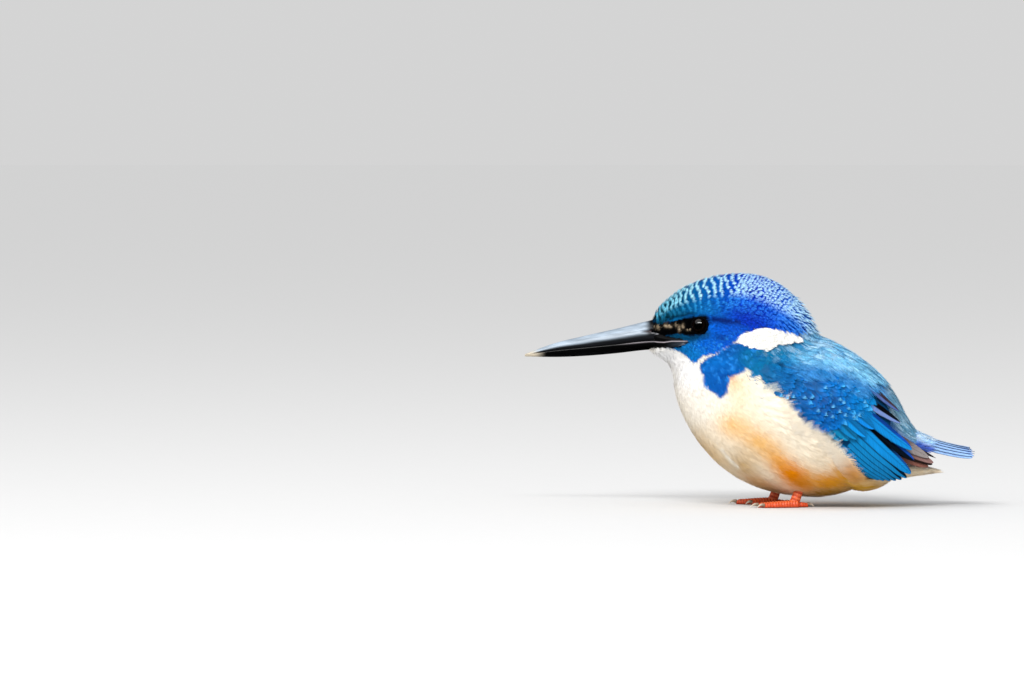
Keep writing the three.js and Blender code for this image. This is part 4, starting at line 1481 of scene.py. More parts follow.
@dataclass
class HeadCoat:
    """Feathers of the head: crown, face and the white neck patches.

    Attributes:
        socket: the left eye's place.
        crown_gap, face_gap: distance between roots in mm.
    """

    socket: Socket
    crown_gap: float = 0.66
    face_gap: float = 0.5

    def build(self) -> None:
        """Grows the crown, the face and the neck patches."""
        rng = np.random.default_rng(Seed.HEAD)
        fine = several(6, Blade.tuft, rng, barbs=5, joints=3, foot=0.45, slim=0.24, contrast=0.12)
        self._crown(fine)
        self._face(fine)
        satin = several(5, Blade.tuft, rng, barbs=9, joints=3, foot=0.8, slim=0.27, contrast=0.02)
        coat = Coat("coat_neck_patches", (4.2, 9.0, -130, 130), rng)
        roots = Roots.scatter(BODY, (4.2, 8.9), (26, 132), 0.52, rng)
        y, z = roots.seen_from_side(BODY)
        roots = roots.keep(inside(y, z, NECK_PATCH) > -0.6)
        how = Growth(satin, self._white, length=(3.1,), width=(1.7,), depth=0.3, rise=(0.45,), power=0.9,
                     rough=0.03, stray=3, heading=((-4, 34), (2, 12), (8, -8), (14, -28), (19, -32)),
                     root_shade=0.98, inside=NECK_PATCH)
        coat.grow(BODY, roots, how)
        coat.build(SILK, "crown_feathers")

    @staticmethod
    def _white(a: Spot) -> Array:
        """Warm white, a little uneven from feather to feather."""
        return a.flat("#fffef8") * (0.9 + 0.1 * a.chance)[..., None]

    def _crown(self, fine: tuple[Blade, ...]) -> None:
        """A dark under-layer, and over it the pale-tipped feathers: in bars as far as the hind
        crown, then staggered, then streaked down the nape."""
        coat = Coat("coat_crown", (0.0, 8.2, -88, 88), np.random.default_rng(Seed.CROWN))
        rng = coat.rng

        def cap(s_span: Span, reach: float, gap: float, jitter: float = 0.45) -> Roots:
            """Roots over the crown and nape, above the neck patches."""
            found = clear_of_eyes(Roots.scatter(BODY, s_span, (0, reach), gap, rng, jitter), self.socket)
            y, z = found.seen_from_side(BODY)
            return found.keep((above(y, z, ((-4.6, 60.5), (24, 61.5))) > 0) | (y < -4.6))

        how = Growth(fine, length=(1.5, 2.0, 2.3, 2.6, 2.8, 3.2, 3.8, 4.4, 4.6),
                     width=(0.8, 0.9, 1.0, 1.0, 1.0, 1.1, 1.3, 1.4), rise=(0.0,), stray=5,
                     clear=NECK_PATCH)
        coat.grow(BODY, cap((0.02, 7.9), 84, self.crown_gap), how)
        tips = Growth(fine, Markings.crown_tips, length=(1.8,), width=(1.3,), depth=0.5, rise=(0.28,),
                      power=0.7, rough=0.1, root_shade=0.9, place=1.0, clear=NECK_PATCH)
        roots_ahead = 1.1
        bars = Roots.crossbars(BODY, np.array(CROWN_BARS) - roots_ahead, reach=74, gap=3.3, rng=rng)
        coat.grow(BODY, bars, tips)
        coat.grow(BODY, cap((4.15, 6.3), 70, 1.12, 0.3), replace(tips, width=(1.25,)))
        streaks = replace(tips, length=(2.9,), width=(0.95,), rise=(0.4,) * 6 + (0.8, 1.4, 1.2),
                          rough=0.3, stray=11)
        coat.grow(BODY, cap((6.1, 7.9), 80, 1.15, 0.35), streaks)
        coat.build(SILK, "crown_feathers")

    def _face(self, fine: tuple[Blade, ...]) -> None:
        """Short feathers of the lores, cheek and ear, leaving the gape bare."""
        coat = Coat("coat_face", (0.0, 7.2, -180, 180), np.random.default_rng(Seed.FACE))
        roots = Roots.scatter(BODY, (0.05, 6.8), (70, 180), self.face_gap, coat.rng)
        y, z = roots.seen_from_side(BODY)
        crown = (np.abs(roots.phi) < 84) & (roots.s < 3)
        bare = (inside(y, z, GAPE) > 0.1) | (inside(y, z, NECK_PATCH) >= 0.3)
        roots = clear_of_eyes(roots.keep((above(y, z, HEAD_LINE) > -0.5) & ~crown & ~bare), self.socket)
        how = Growth(fine, length=(1.1, 1.4, 1.6, 1.8, 2.2, 2.8, 3.2, 3.4),
                     width=(0.6, 0.7, 0.75, 0.8, 0.9, 1.1, 1.2), depth=0.75, rise=(0.08,), rough=0.08,
                     stray=8, clear=NECK_PATCH)
        coat.grow(BODY, roots, how)
        coat.build(SILK, "crown_feathers")


def proud(r: Roots, form: Form, other: Form) -> Array:
    """How far another form stands outside the roots' own, in mm."""
    x, y, z = form.point(r.s, r.phi).T
    return np.clip(other.point(*other.locate(y, z))[:, 0] - np.abs(x), -6, 6)


def swell(r: Roots) -> Roots:
    """Lifts the feathers near the flank line, so that they run up from the body's surface to the
    wing's, and turns them up along it.

    Args:
        r: the roots.

    Returns:
        The same roots.
    """
    y, z = r.seen_from_side(BODY)
    below = -above(y, z, FLANK_LINE)
    slope = (1 - ease(below, 0.5, 13.0)) * ease(y, -2, 9) * (below > -1.5)
    r.lift = np.clip(proud(r, BODY, HULL) + 1.0, 0, 5.4) * slope - tucked(r.s, r.phi)
    r.turn = -16 * (1 - ease(below, 1.0, 9.0)) * ease(y, -8, 0)
    return r


def settle(r: Roots, outline: Path) -> Roots:
    """Sinks the feathers along the front edge of the mantle or the wing onto the body, so that
    the edge rises gently out of the neck.

    Args:
        r: the roots.
        outline: the (y, z) outline of the mantle or the wing.

    Returns:
        The same roots.
    """
    y, z = r.seen_from_side(HULL)
    edge = 1 - ease(inside(y, z, outline), 0.5, 7.0)
    r.lift = np.clip(proud(r, HULL, BODY), -4, 0) * edge * (1 - ease(y, 14, 24))
    return r


@dataclass
class FrontCoat:
    """Loose feathers of the collar, breast, belly and flanks.

    Attributes:
        gap: distance between roots in mm.
        length, width: of the feathers, one entry per station.
    """

    gap: float = 0.92
    length: Table = (2.0, 2.4, 2.8, 3.2, 3.8, 4.4, 5.0, 5.6, 6.2, 6.6, 7.0, 7.2, 7.2, 7.0, 6.0, 5.0, 4.0)
    width: Table = (1.0, 1.2, 1.4, 1.6, 1.9, 2.1, 2.3, 2.4, 2.6) + (2.8,) * 5 + (2.4, 2.0, 2.0)

    def build(self) -> None:
        """Grows the breast, the belly, the flanks and the frayed edge over the wing."""
        rng = np.random.default_rng(Seed.FRONT)
        loose = several(6, Blade.tuft, rng, barbs=8, joints=3, foot=0.55, fan=1.0, slim=0.2, contrast=0.04)
        wisps = several(6, Blade.tuft, rng, barbs=8, joints=3, foot=0.55, fan=1.05, slim=0.2, contrast=0.035)
        soft = Growth(loose, length=self.length, width=self.width, depth=1.1, rough=0.06, root_shade=0.96)
        breast = Coat("coat_breast", (0.0, 8.2, -180, 180), rng)
        roots = Roots.scatter(BODY, (0.1, 8.1), (56, 180), self.gap * 0.84, rng)
        y, z = roots.seen_from_side(BODY)
        roots = roots.keep((above(y, z, HEAD_LINE) < 0.2) & (y < 10) & (z < 58.5))
        breast.grow(BODY, roots, replace(soft, stray=7, clear=NECK_PATCH))
        breast.build(DOWN, "neck_feathers")
        soft = replace(soft, blades=wisps, paint=Markings.underparts, rough=0.08, stray=9)
        belly = Coat("coat_belly", (8.0, 15.6, -180, 180), rng)
        belly.grow(BODY, swell(Roots.scatter(BODY, (8.0, 15.4), (118, 180), self.gap, rng)), soft)
        belly.build(DOWN, "belly_feathers")
        flanks = Coat("coat_flanks", (5.8, 14.8, -120, 120), rng)
        roots = swell(Roots.scatter(BODY, (6.6, 14.6), (62, 118), self.gap * 0.92, rng))
        y, z = roots.seen_from_side(BODY)
        edge = -0.2 - 2.4 * ease(y, -1, 4) - 1.2 * ease(y, 6, 15)
        roots = roots.keep((above(y, z, FLANK_LINE) < edge) & (inside(y, z, COLLAR) < 0))
        flanks.grow(BODY, roots, replace(soft, rise=(0.2,), rough=0.03, stray=6))
        flanks.build(DOWN, "belly_feathers")
        self._fringe(rng)

    @staticmethod
    def _wisp(a: Spot) -> Array:
        """The belly's own colour, a little paler."""
        share = (0.3 + 0.3 * a.chance) * (1 - 0.8 * ease(a.y, 28, 38))
        return over(Markings.underparts(a), "#fff9ee", share)

    @staticmethod
    def _shaded(a: Spot) -> Array:
        """Grey-blue to greyish cream, in the shade of the shoulder."""
        return over(a.flat("#7f9db2"), "#e6e4de", a.chance)

    def _fringe(self, rng: Rng) -> None:
        """Thin wisps that come up over the wing's lower edge, short ones and then long ones, and
        a tuft at its front end."""
        count, long_count, tuft_count = 820, 240, 90
        fringe = Coat("coat_flank_fringe", (6.0, 15.0, -130, 130), rng)
        wisps = several(6, Blade.tuft, rng, barbs=5, foot=0.5, fan=1.15, slim=0.08, contrast=0.03)
        ends = np.array(FLANK_LINE[3:-5])
        t = rng.uniform(0.9, len(ends) - 1.001, count)
        i = t.astype(int)
        place = mix(ends[i], ends[i + 1], (t - i)[:, None])
        place = place - rng.uniform(0.4, 3.4, (count, 1)) * 0.75
        place = place - [0.9, 1.3] * ease(place[:, :1], 8, 16)

        def sown(y: Array, z: Array) -> Roots:
            """Roots along the wing's edge, and in front of it down on the body."""
            found = Roots.seen(HULL, y, z, rng)
            sunk = 1 - ease(found.seen_from_side(HULL)[0], 0, 11)
            found.lift = np.clip(proud(found, HULL, BODY), -4, 0) * sunk
            return found

        heading = ((2, -4), (8, 4), (14, 16), (20, 34), (24, 40), (28, 26), (34, 16), (42, 8), (50, 2))
        how = Growth(wisps, self._wisp, length=(3.9,), width=(1.2,), depth=1.9, rise=(0.8,), power=0.55,
                     rough=0.25, stray=14, heading=heading, root_shade=0.97)
        fringe.grow(HULL, sown(*place.T), how)
        long = replace(how, length=(6.4,), width=(1.0,), rise=(1.1,), stray=19)
        fringe.grow(HULL, sown(*place[:long_count].T), long)
        y, z = rng.uniform(1.0, 7.6, tuft_count), rng.uniform(38.6, 43.4, tuft_count)
        fringe.grow(HULL, sown(y, z), replace(how, paint=self._shaded, heading=((0, -8), (8, 10))))
        fringe.build(DOWN, "belly_feathers")


@dataclass
class BackCoat:
    """Silky feathers of the mantle and shoulders, which lie over the wings, and of the rump.

    Attributes:
        gap: distance between roots in mm.
    """

    gap: float = 1.25

    def build(self) -> None:
        """Grows the mantle and the rump."""
        rng = np.random.default_rng(Seed.BACK)
        silky = several(6, Blade.tuft, rng, barbs=11)
        coat = Coat("coat_mantle", (6.4, 13.2, -100, 100), rng)
        heading = ((4, -32), (12, -40), (20, -52), (34, -58), (42, -50), (50, -44))
        how = Growth(silky, Markings.upperparts, length=(4,) * 7 + (5, 6.5, 8, 9, 9.5, 10),
                     width=(2.6,) * 7 + (2.8, 3.2, 3.6, 3.8, 4), depth=1.3, rise=(0.45,), power=0.7,
                     rough=0.14, stray=5, heading=heading, root_shade=0.8, inside=SCAPULARS, margin=0.35,
                     clear=NECK_PATCH)
        roots = Roots.scatter(HULL, (6.2, 12.3), (0, 98), self.gap, rng, 0.35)
        coat.grow(HULL, settle(roots, SCAPULARS), how)
        coat.build(SILK, "back_feathers")
        coat = Coat("coat_rump", (10.5, 15.4, -100, 100), rng)
        how = replace(how, length=(9.0,), width=(2.8,), rise=(0.15,), heading=None, inside=None, clear=None)
        coat.grow(BODY, Roots.scatter(BODY, (10.8, 14.6), (0, 88), self.gap * 1.05, rng, 0.35), how)
        coat.build(SILK, "rump_feathers")


# ---- Wings and tail ----
@dataclass(frozen=True)
class Quill:
    """One stiff feather, bent along a form from its root to its tip.

    Attributes:
        root, tip: (y, z) of each end as seen from the side, in mm.
        width: in mm.
        height: above the form at the root and at the tip.
        colour: hex colour of the lower, showing web.
        inner: hex colour of the upper, mostly covered web.
        end: hex colour that the upper web takes near the tip.
        split: where the webs' colours meet, from -1 at the upper edge to 1 at the lower one.
        bow: how far its middle sags below the straight line, in mm.
        tilt: how far the lower edge stands above the upper one.
        square: how blunt the tip is.
        polar: whether root and tip are (station, degrees) instead.
        rows, columns: size of its grid.
    """

    root: Span
    tip: Span
    width: float
    height: Span
    colour: str
    inner: str
    end: str
    split: float = 0.45
    bow: float = 0.0
    tilt: float = 0.3
    square: float = 3.2
    polar: bool = False
    rows: int = 34
    columns: int = 13

    def grids(self, form: Form, rng: Rng) -> tuple[Array, Array, Array, Array]:
        """Works out the quill. Its middle line is found on the form under a bowed line in the
        side view, and smoothed by a quartic; the half width is (1 - t^square)^0.5, and the vane
        is cambered about a raised shaft.

        Args:
            form: the form it lies on.
            rng: random numbers.

        Returns:
            Closed rings of points, tints, places on its own map and on the barb map.
        """
        t = 1 - (1 - np.linspace(0, 1, self.rows)) ** 1.25
        b = np.linspace(-1, 1, self.columns)
        k, phi = (mix(r, e, t) for r, e in zip(self.root, self.tip))
        if not self.polar:
            k, phi = form.locate(k, phi - self.bow * np.sin(np.pi * t))
            k, phi = (np.polynomial.Polynomial.fit(t, v, 4)(t) for v in (k, phi))
        middle = form.point(k, phi)
        normal = form.slopes(k, phi)[2]
        side = np.cross(unit(np.gradient(middle, axis=0)), normal)
        half = self.width / 2 * np.sqrt(np.clip(1 - t**self.square, 0.0006, 1))
        half = half * (0.62 + 0.38 * ease(t, 0, 0.3))
        reach = half[:, None] * b * (1 + 0.02 * rng.normal(size=(len(t), 1)) * (np.abs(b) > 0.95))
        shaft = 0.1 * bump(b, 0, 0.09) * (1 - 0.7 * t)[:, None]
        up = mix(*self.height, t)[:, None] - reach**2 / 30 + shaft
        up = up + self.tilt * b / 2 * ease(t, 0, 0.4)[:, None]
        top = middle[:, None] + side[:, None] * reach[..., None] + normal[:, None] * up[..., None]
        under = top - normal[:, None] * (0.2 - 0.1 * np.abs(b))[None, :, None]
        webs = np.broadcast_to(ease(b, self.split - 0.06, self.split + 0.06), up.shape)
        near_tip = np.broadcast_to(ease(t, 0.6, 0.85)[:, None], up.shape)
        inner = over(flat(self.inner, up.shape), self.end, near_tip)
        tint = over(inner, self.colour, webs) * (1 - 0.35 * bump(b, 0, 0.07))[None, :, None]
        # darker towards the root; painted shadow darkens each quill along its lower edge, where it lies over
        # the next one, drawing thin dark lines between quills
        tint = tint * (0.85 + 0.2 * t)[:, None, None] * (1 - 0.6 * ease(b, 0.8, 0.94))[None, :, None]
        below = over(tint, "#3a3a40", np.full(up.shape, 0.6))
        uv = np.stack(np.broadcast_arrays((b + 1) * 0.24, t[:, None]), -1)
        run = np.linalg.norm(middle[-1] - middle[0]) * t[:, None] + rng.uniform(0, 50)
        barbs = np.stack(np.broadcast_arrays(reach, run), -1)
        pairs = ((top, under), (tint, below), (uv, uv + [0.5, 0]), (barbs, barbs))
        return tuple(np.concatenate([face, back[:, ::-1]], 1) for face, back in pairs)


def lay_quills(name: str, form: Form, quills: list[Quill], sign: int, slot: str, *nodes: str) -> None:
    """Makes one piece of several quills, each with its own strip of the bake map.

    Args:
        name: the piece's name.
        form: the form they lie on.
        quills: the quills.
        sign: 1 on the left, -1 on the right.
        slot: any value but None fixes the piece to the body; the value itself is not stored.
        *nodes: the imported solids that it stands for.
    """
    rng = np.random.default_rng(Seed.QUILLS)
    parts = Pieces(name)
    for number, quill in enumerate(quills):
        rings, tint, uv, barbs = quill.grids(form, rng)
        points, faces = lofted(rings * [sign, 1, 1])
        strip = (with_poles(uv) * [0.94, 1] + [0.03, 0]) * [1 / len(quills), 0.98]
        strip = strip + [number / len(quills), 0.01]
        parts.add(points, faces, with_poles(tint), strip, with_poles(barbs))
    parts.build(VANE, slot, *nodes, chart=True)


# Quills as (root y, z), (tip y, z), width, height at the tip, colour, inner and end colours,
# split and bow.
SECONDARIES = (
    ((38, 33), (57.0, 16.6), 4.2, -0.35, "#07121f", "#0a3a94", "#0c48a8", -0.2, 0.4),
    ((33.5, 33.5), (55.8, 12.0), 5.4, 0.0, "#0a8ad6", "#04080e", "#0f4f9a", -0.55, 0.6),
    ((32, 31), (54.4, 10.4), 4.4, -0.1, "#0a84c6", "#03131f", "#04233a", 0.05, 0.6),
    ((31, 29.5), (52.6, 9.7), 4.4, -0.2, "#0a80c0", "#04263c", "#04263c", 0.05, 0.6),
    ((30, 28), (50.7, 9.4), 4.4, -0.3, "#0a80c0", "#053450", "#053450", 0.05, 0.6),
    ((29.2, 26.6), (48.7, 9.3), 4.4, -0.4, "#0a80c0", "#054468", "#054468", 0.05, 0.5),
    ((28.4, 25.2), (46.6, 9.4), 4.4, -0.5, "#0a80c0", "#054a70", "#054a70", 0.05, 0.4),
    ((29.6, 23.6), (44.6, 9.6), 4.4, -0.6, "#0b78b0", "#0b4c70", "#0b4c70", 0.05, 0.3),
    ((30.6, 22.0), (42.8, 10.2), 4.4, -0.7, "#0b6c96", "#0f4b6c", "#0f4b6c", 0.05, 0.2),
    ((31.8, 20.6), (41.6, 11.0), 4.4, -0.8, "#0b6a90", "#13557a", "#13557a", 0.05, 0.0),
)
GREATER_COVERTS = (
    ((34, 35.5), (42.3, 28.0), 4.6, 0.42, "#0a80d8", "#0868a6", "#0868a6", 0.2, 0.0),
    ((31.5, 33.5), (39.5, 25.3), 4.4, 0.36, "#0a8cdc", "#0868a6", "#0868a6", 0.2, 0.0),
    ((29, 32), (36.3, 24.6), 4.4, 0.3, "#0a7ab8", "#0a608e", "#0a608e", 0.2, 0.0),
    ((27, 31), (33.4, 24.2), 4.4, 0.24, "#0b7cac", "#0a608e", "#0a608e", 0.2, 0.0),
    ((25.5, 30), (30.8, 24.0), 4.2, 0.18, "#0b7cac", "#0a608e", "#0a608e", 0.2, 0.0),
)
TERTIALS = (
    ((39, 45), (51.6, 33.4), 3.6, 0.5, "#5068a6", "#3a2e38", "#4a3c46", 0.1, 0.3),
    ((37.5, 40), (51.9, 29.6), 4.2, 0.36, "#7088c2", "#0a0a10", "#101622", 0.1, 0.3),
    ((36, 36.8), (55.9, 20.5), 5.4, 0.25, "#0c84d0", "#0a3c8c", "#0f4fb4", -0.4, 0.5),
)
PRIMARIES = (
    ((42, 30), (62.8, 17.9), 5.4, -1.0, "#8f8786", "#5c4c4a", "#8f8786", -0.2, 0.0),
    ((42, 27), (64.4, 15.9), 4.4, -1.15, "#8a6a66", "#4c3a38", "#8a6a66", -0.2, 0.0),
    ((42, 25), (64.0, 15.0), 3.6, -1.3, "#2c1e1b", "#2c1e1b", "#2c1e1b", -0.2, 0.0),
    ((42, 23), (62.6, 13.6), 3.6, -1.5, "#8a5a4e", "#4c3a38", "#8a5a4e", -0.2, 0.0),
    ((48, 27), (66.0, 18.3), 2.2, -1.8, "#2a2226", "#2a2226", "#2a2226", -0.2, 0.0),
)
# Pale covert tips seen from the side.
COVERT_TIPS = (
    (10.5, 38.5), (13, 37.8), (15, 38), (18.7, 38.2), (21.5, 37.8), (31, 37.3), (32, 36.5),
    (33, 32.4), (36, 32), (37.8, 32.5), (26, 41.5), (26, 32.4), (28.5, 31.5), (30.6, 33.6),
    (34.4, 34.6), (29, 35), (23.4, 33.8), (40, 36.4),
)


@dataclass
class Wings:
    """The folded wings: coverts, secondaries, tertials and primaries.

    Attributes:
        gap: distance between the coverts' roots in mm.
        rows, columns: size of the skin's grid.
        wall: thickness of the skin in mm.
    """

    gap: float = 1.1
    rows: int = 110
    columns: int = 96
    wall: float = 0.4

    @staticmethod
    def _row(table: tuple[tuple, ...], bury: float) -> list[Quill]:
        """Turns a table of quills, uppermost first, into quills, lowest first."""
        return [Quill(*q[:3], (q[3] - bury, q[3]), *q[4:]) for q in table[::-1]]

    def build(self) -> None:
        """Makes both wings."""
        for side, sign in SIDES:
            rows = (
                ("secondary", self._row(SECONDARIES, 0.8), "quill_feathers", (f"secondaries_{side}",)),
                ("tertial", self._row(TERTIALS + GREATER_COVERTS, 0.8), "quill_feathers", ()),
                ("primary", self._row(PRIMARIES, 1.6), "primary_feathers", (f"primaries_{side}",)),
            )
            for name, quills, slot, nodes in rows:
                lay_quills(f"{name}_quills_{side}", HULL, quills, sign, slot, *nodes)
        self._skin()
        self._coverts()

    def _skin(self) -> None:
        """A sheet under the coverts, dark blue as painted shade in the gaps between them, which dives onto
        the body round its edge.
        """
        s, phi = np.linspace(5.6, 14.6, self.rows), np.linspace(30, 126, self.columns)
        s, phi = np.meshgrid(s, phi, indexing="ij")
        p, normal = HULL.point(s, phi), HULL.slopes(s, phi)[2]
        roots = Roots.at(s, phi, np.random.default_rng(Seed.WING_SKIN))
        sunk = settle(roots, COVERTS).lift.reshape(s.shape)
        gap = np.minimum(proud(roots, HULL, BODY), 0).reshape(s.shape)
        within = ease(inside(p[..., 1], p[..., 2], WING_SKIN), -3.0, 1.0)
        depth = (gap - 2.4) * (1 - within) - 0.9 * within + 1.3 * sunk
        top = p + normal * depth[..., None]
        sheet = np.concatenate([top, (top - normal * self.wall)[:, ::-1]], 1)
        parts = Pieces("wing_skin")
        for _, sign in SIDES:
            points, faces = lofted(sheet * [sign, 1, 1])
            zero = np.zeros(len(points))
            a = Spot.at(points, zero, zero, zero + 0.5, zero)
            # painted shade: above the flank line the sheet is dark blue, for the shade seen between the
            # coverts
            blue = ease(above(a.y, a.z, FLANK_LINE), -1.6, -0.6)
            parts.add(points, faces, over(Markings.underparts(a), "#07406c", blue))
        parts.build(SKIN, "back_feathers", "wing_left", "wing_right")

    def _coverts(self) -> None:
        """Small coverts in many rows, firmer ones over them, and a few with pale tips."""
        rng = np.random.default_rng(Seed.COVERTS)
        webs = several(6, Blade.tuft, rng, barbs=11, joints=3, foot=0.62, fan=0.88, slim=0.13, contrast=0.06)
        coat = Coat("wing_coverts", (5.6, 12.6, -106, 106), rng)
        how = Growth(webs, Markings.coverts, length=(3.4,) * 6 + (3.6, 3.8, 4.2, 5.0, 5.8, 6.4, 6.6),
                     width=(2,) * 7 + (2.1, 2.4, 2.7, 2.9, 3.0), power=0.75, rough=0.06, stray=5,
                     heading=((0, -30), (8, -36), (16, -42), (45, -44)), root_shade=0.85, place=0.5,
                     inside=COVERTS, margin=0.1)
        roots = Roots.scatter(HULL, (5.4, 12.2), (38, 106), self.gap, rng, 0.22)
        coat.grow(HULL, settle(roots, COVERTS), how)
        firm = several(5, Blade.vane, rng, rows=10, columns=9, blunt=2.6, fray=0.16)
        layer = replace(how, blades=firm, length=(4.2,) * 6 + (4.4, 4.6, 5.2, 6.0, 6.8, 7.2),
                        width=(3.0,) * 7 + (3.2, 3.6, 4.0, 4.4, 4.4), depth=0.7, rise=(0.3,),
                        root_shade=0.7)
        roots = settle(Roots.scatter(HULL, (6.0, 11.9), (42, 105), 2.3, rng, 0.25), COVERTS)
        y, z = roots.seen_from_side(HULL)
        coat.grow(HULL, roots.keep(y > 8.5 + 0.7 * np.clip(z - 44, 0, 9)), layer)
        y, z = (np.array(COVERT_TIPS) + [-2.6, 2.4]).T
        soft = several(3, Blade.vane, rng, rows=9, columns=7, blunt=2.2, fray=0.35)
        tips = replace(how, blades=soft, paint=self._spangle, length=(3.8,), width=(2.3,), depth=0.4,
                       rise=(0.5,), inside=None, place=1.0, root_shade=0.85)
        coat.grow(HULL, Roots.seen(HULL, y, z, rng), tips)
        coat.build(VANE, "back_feathers")

    @staticmethod
    def _spangle(a: Spot) -> Array:
        """A covert with a pale blue tip."""
        return over(Markings.coverts(a), "#6fc8fa", 0.9 * ease(a.along, 0.5, 0.85))


@dataclass
class Tail:
    """The short tail: an arch of quills with soft coverts above and below.

    Attributes:
        rings: the arch, as in BODY_RINGS.
        under: the form of the undertail coverts.
        reach: stations of the tips, from the middle feather out.
    """

    rings: tuple[Table, ...] = (
        (50.0, 31.0, 50.0, 17.0, 5.2, 0, 0),
        (57.0, 27.4, 57.0, 15.8, 5.8, 0, 0),
        (64.0, 24.2, 64.0, 15.4, 6.8, 0, 0),
        (71.0, 22.0, 71.0, 14.8, 7.6, 0, 0),
        (78.4, 20.3, 78.4, 13.3, 8.2, 0, 0),
    )
    under: tuple[Table, ...] = (
        (44.0, 17.8, 44.0, 8.2, 7.4, 0, 0),
        (50.0, 17.0, 50.0, 9.0, 6.8, 0, 0),
        (56.0, 15.6, 56.0, 9.9, 5.8, 0, 0),
        (62.0, 14.2, 62.0, 10.8, 4.2, 0, 0),
        (67.0, 12.8, 67.0, 11.4, 1.6, 0, 0),
    )
    reach: Table = (3.84, 3.88, 4.02, 4.0, 3.98, 3.9)

    def build(self) -> None:
        """Quills fan from the root; the middle pair lies on top."""
        form = Form(np.array(self.rings))
        quills = []
        for i, k in enumerate(self.reach):
            t = i / (len(self.reach) - 1)
            ends = (0.3, mix(5, 60, t)), (k, mix(9, 80, t))
            colour, inner = ("#bfd8f8", "#86aee8") if i == 0 else ("#99bef1", "#28407c")
            heights = (-0.5 - 0.12 * i, -0.12 * i)
            quills.append(Quill(*ends, 4.0, heights, colour, inner, "#6f96dc", split=-0.1, polar=True))
        for side, sign in SIDES:
            nodes = ("tail",) if sign > 0 else ()
            lay_quills(f"tail_quills_{side}", form, quills[::-1], sign, "rump_feathers", *nodes)
        rng = np.random.default_rng(Seed.TAIL)
        silky = several(5, Blade.tuft, rng, barbs=11)
        coat = Coat("coat_tail_coverts", (0.0, 2.4, -100, 100), rng)
        how = Growth(silky, self._azure, length=(7.0,), width=(2.6,), depth=0.9, rise=(0.3,), rough=0.15,
                     stray=4)
        coat.grow(form, Roots.scatter(form, (0.0, 1.35), (0, 96), 1.05, rng, 0.3), how)
        coat.build(SILK, "rump_feathers")
        form = Form(np.array(self.under))
        wisps = several(5, Blade.tuft, rng, barbs=9, fan=0.95, slim=0.14, contrast=0.07)
        coat = Coat("coat_undertail", (0.0, 4.2, -180, 180), rng)
        how = Growth(wisps, self._cream, length=(6.4,), width=(2.2,), rise=(0.0,), rough=0.2, stray=4,
                     root_shade=0.9)
        coat.grow(form, Roots.scatter(form, (0.0, 3.2), (0, 180), 0.95, rng), how)
        coat.build(DOWN, "vent_feathers", "undertail_coverts")

    @staticmethod
    def _azure(a: Spot) -> Array:
        """Pale azure, with deeper streaks towards the sides."""
        c = over(a.flat("#a0d0fa"), "#e0f2fe", ease(a.chance, 0.2, 0.8))
        c = over(c, "#5a8fe8", 0.8 * a.stripe(1.2, (55, 24.5), (58, 23.5)))
        return over(c, "#0f4cc8", ease(np.abs(a.phi), 58, 82) * 0.9)

    @staticmethod
    def _cream(a: Spot) -> Array:
        """Cream, with a small dark ring near the end."""
        c = over(a.flat("#fbe6c4"), "#fff4de", ease(a.chance, 0.3, 1))
        return over(c, "#6a4c38", 0.7 * a.blob(65.2, 11.4, 1.2, 0.9))


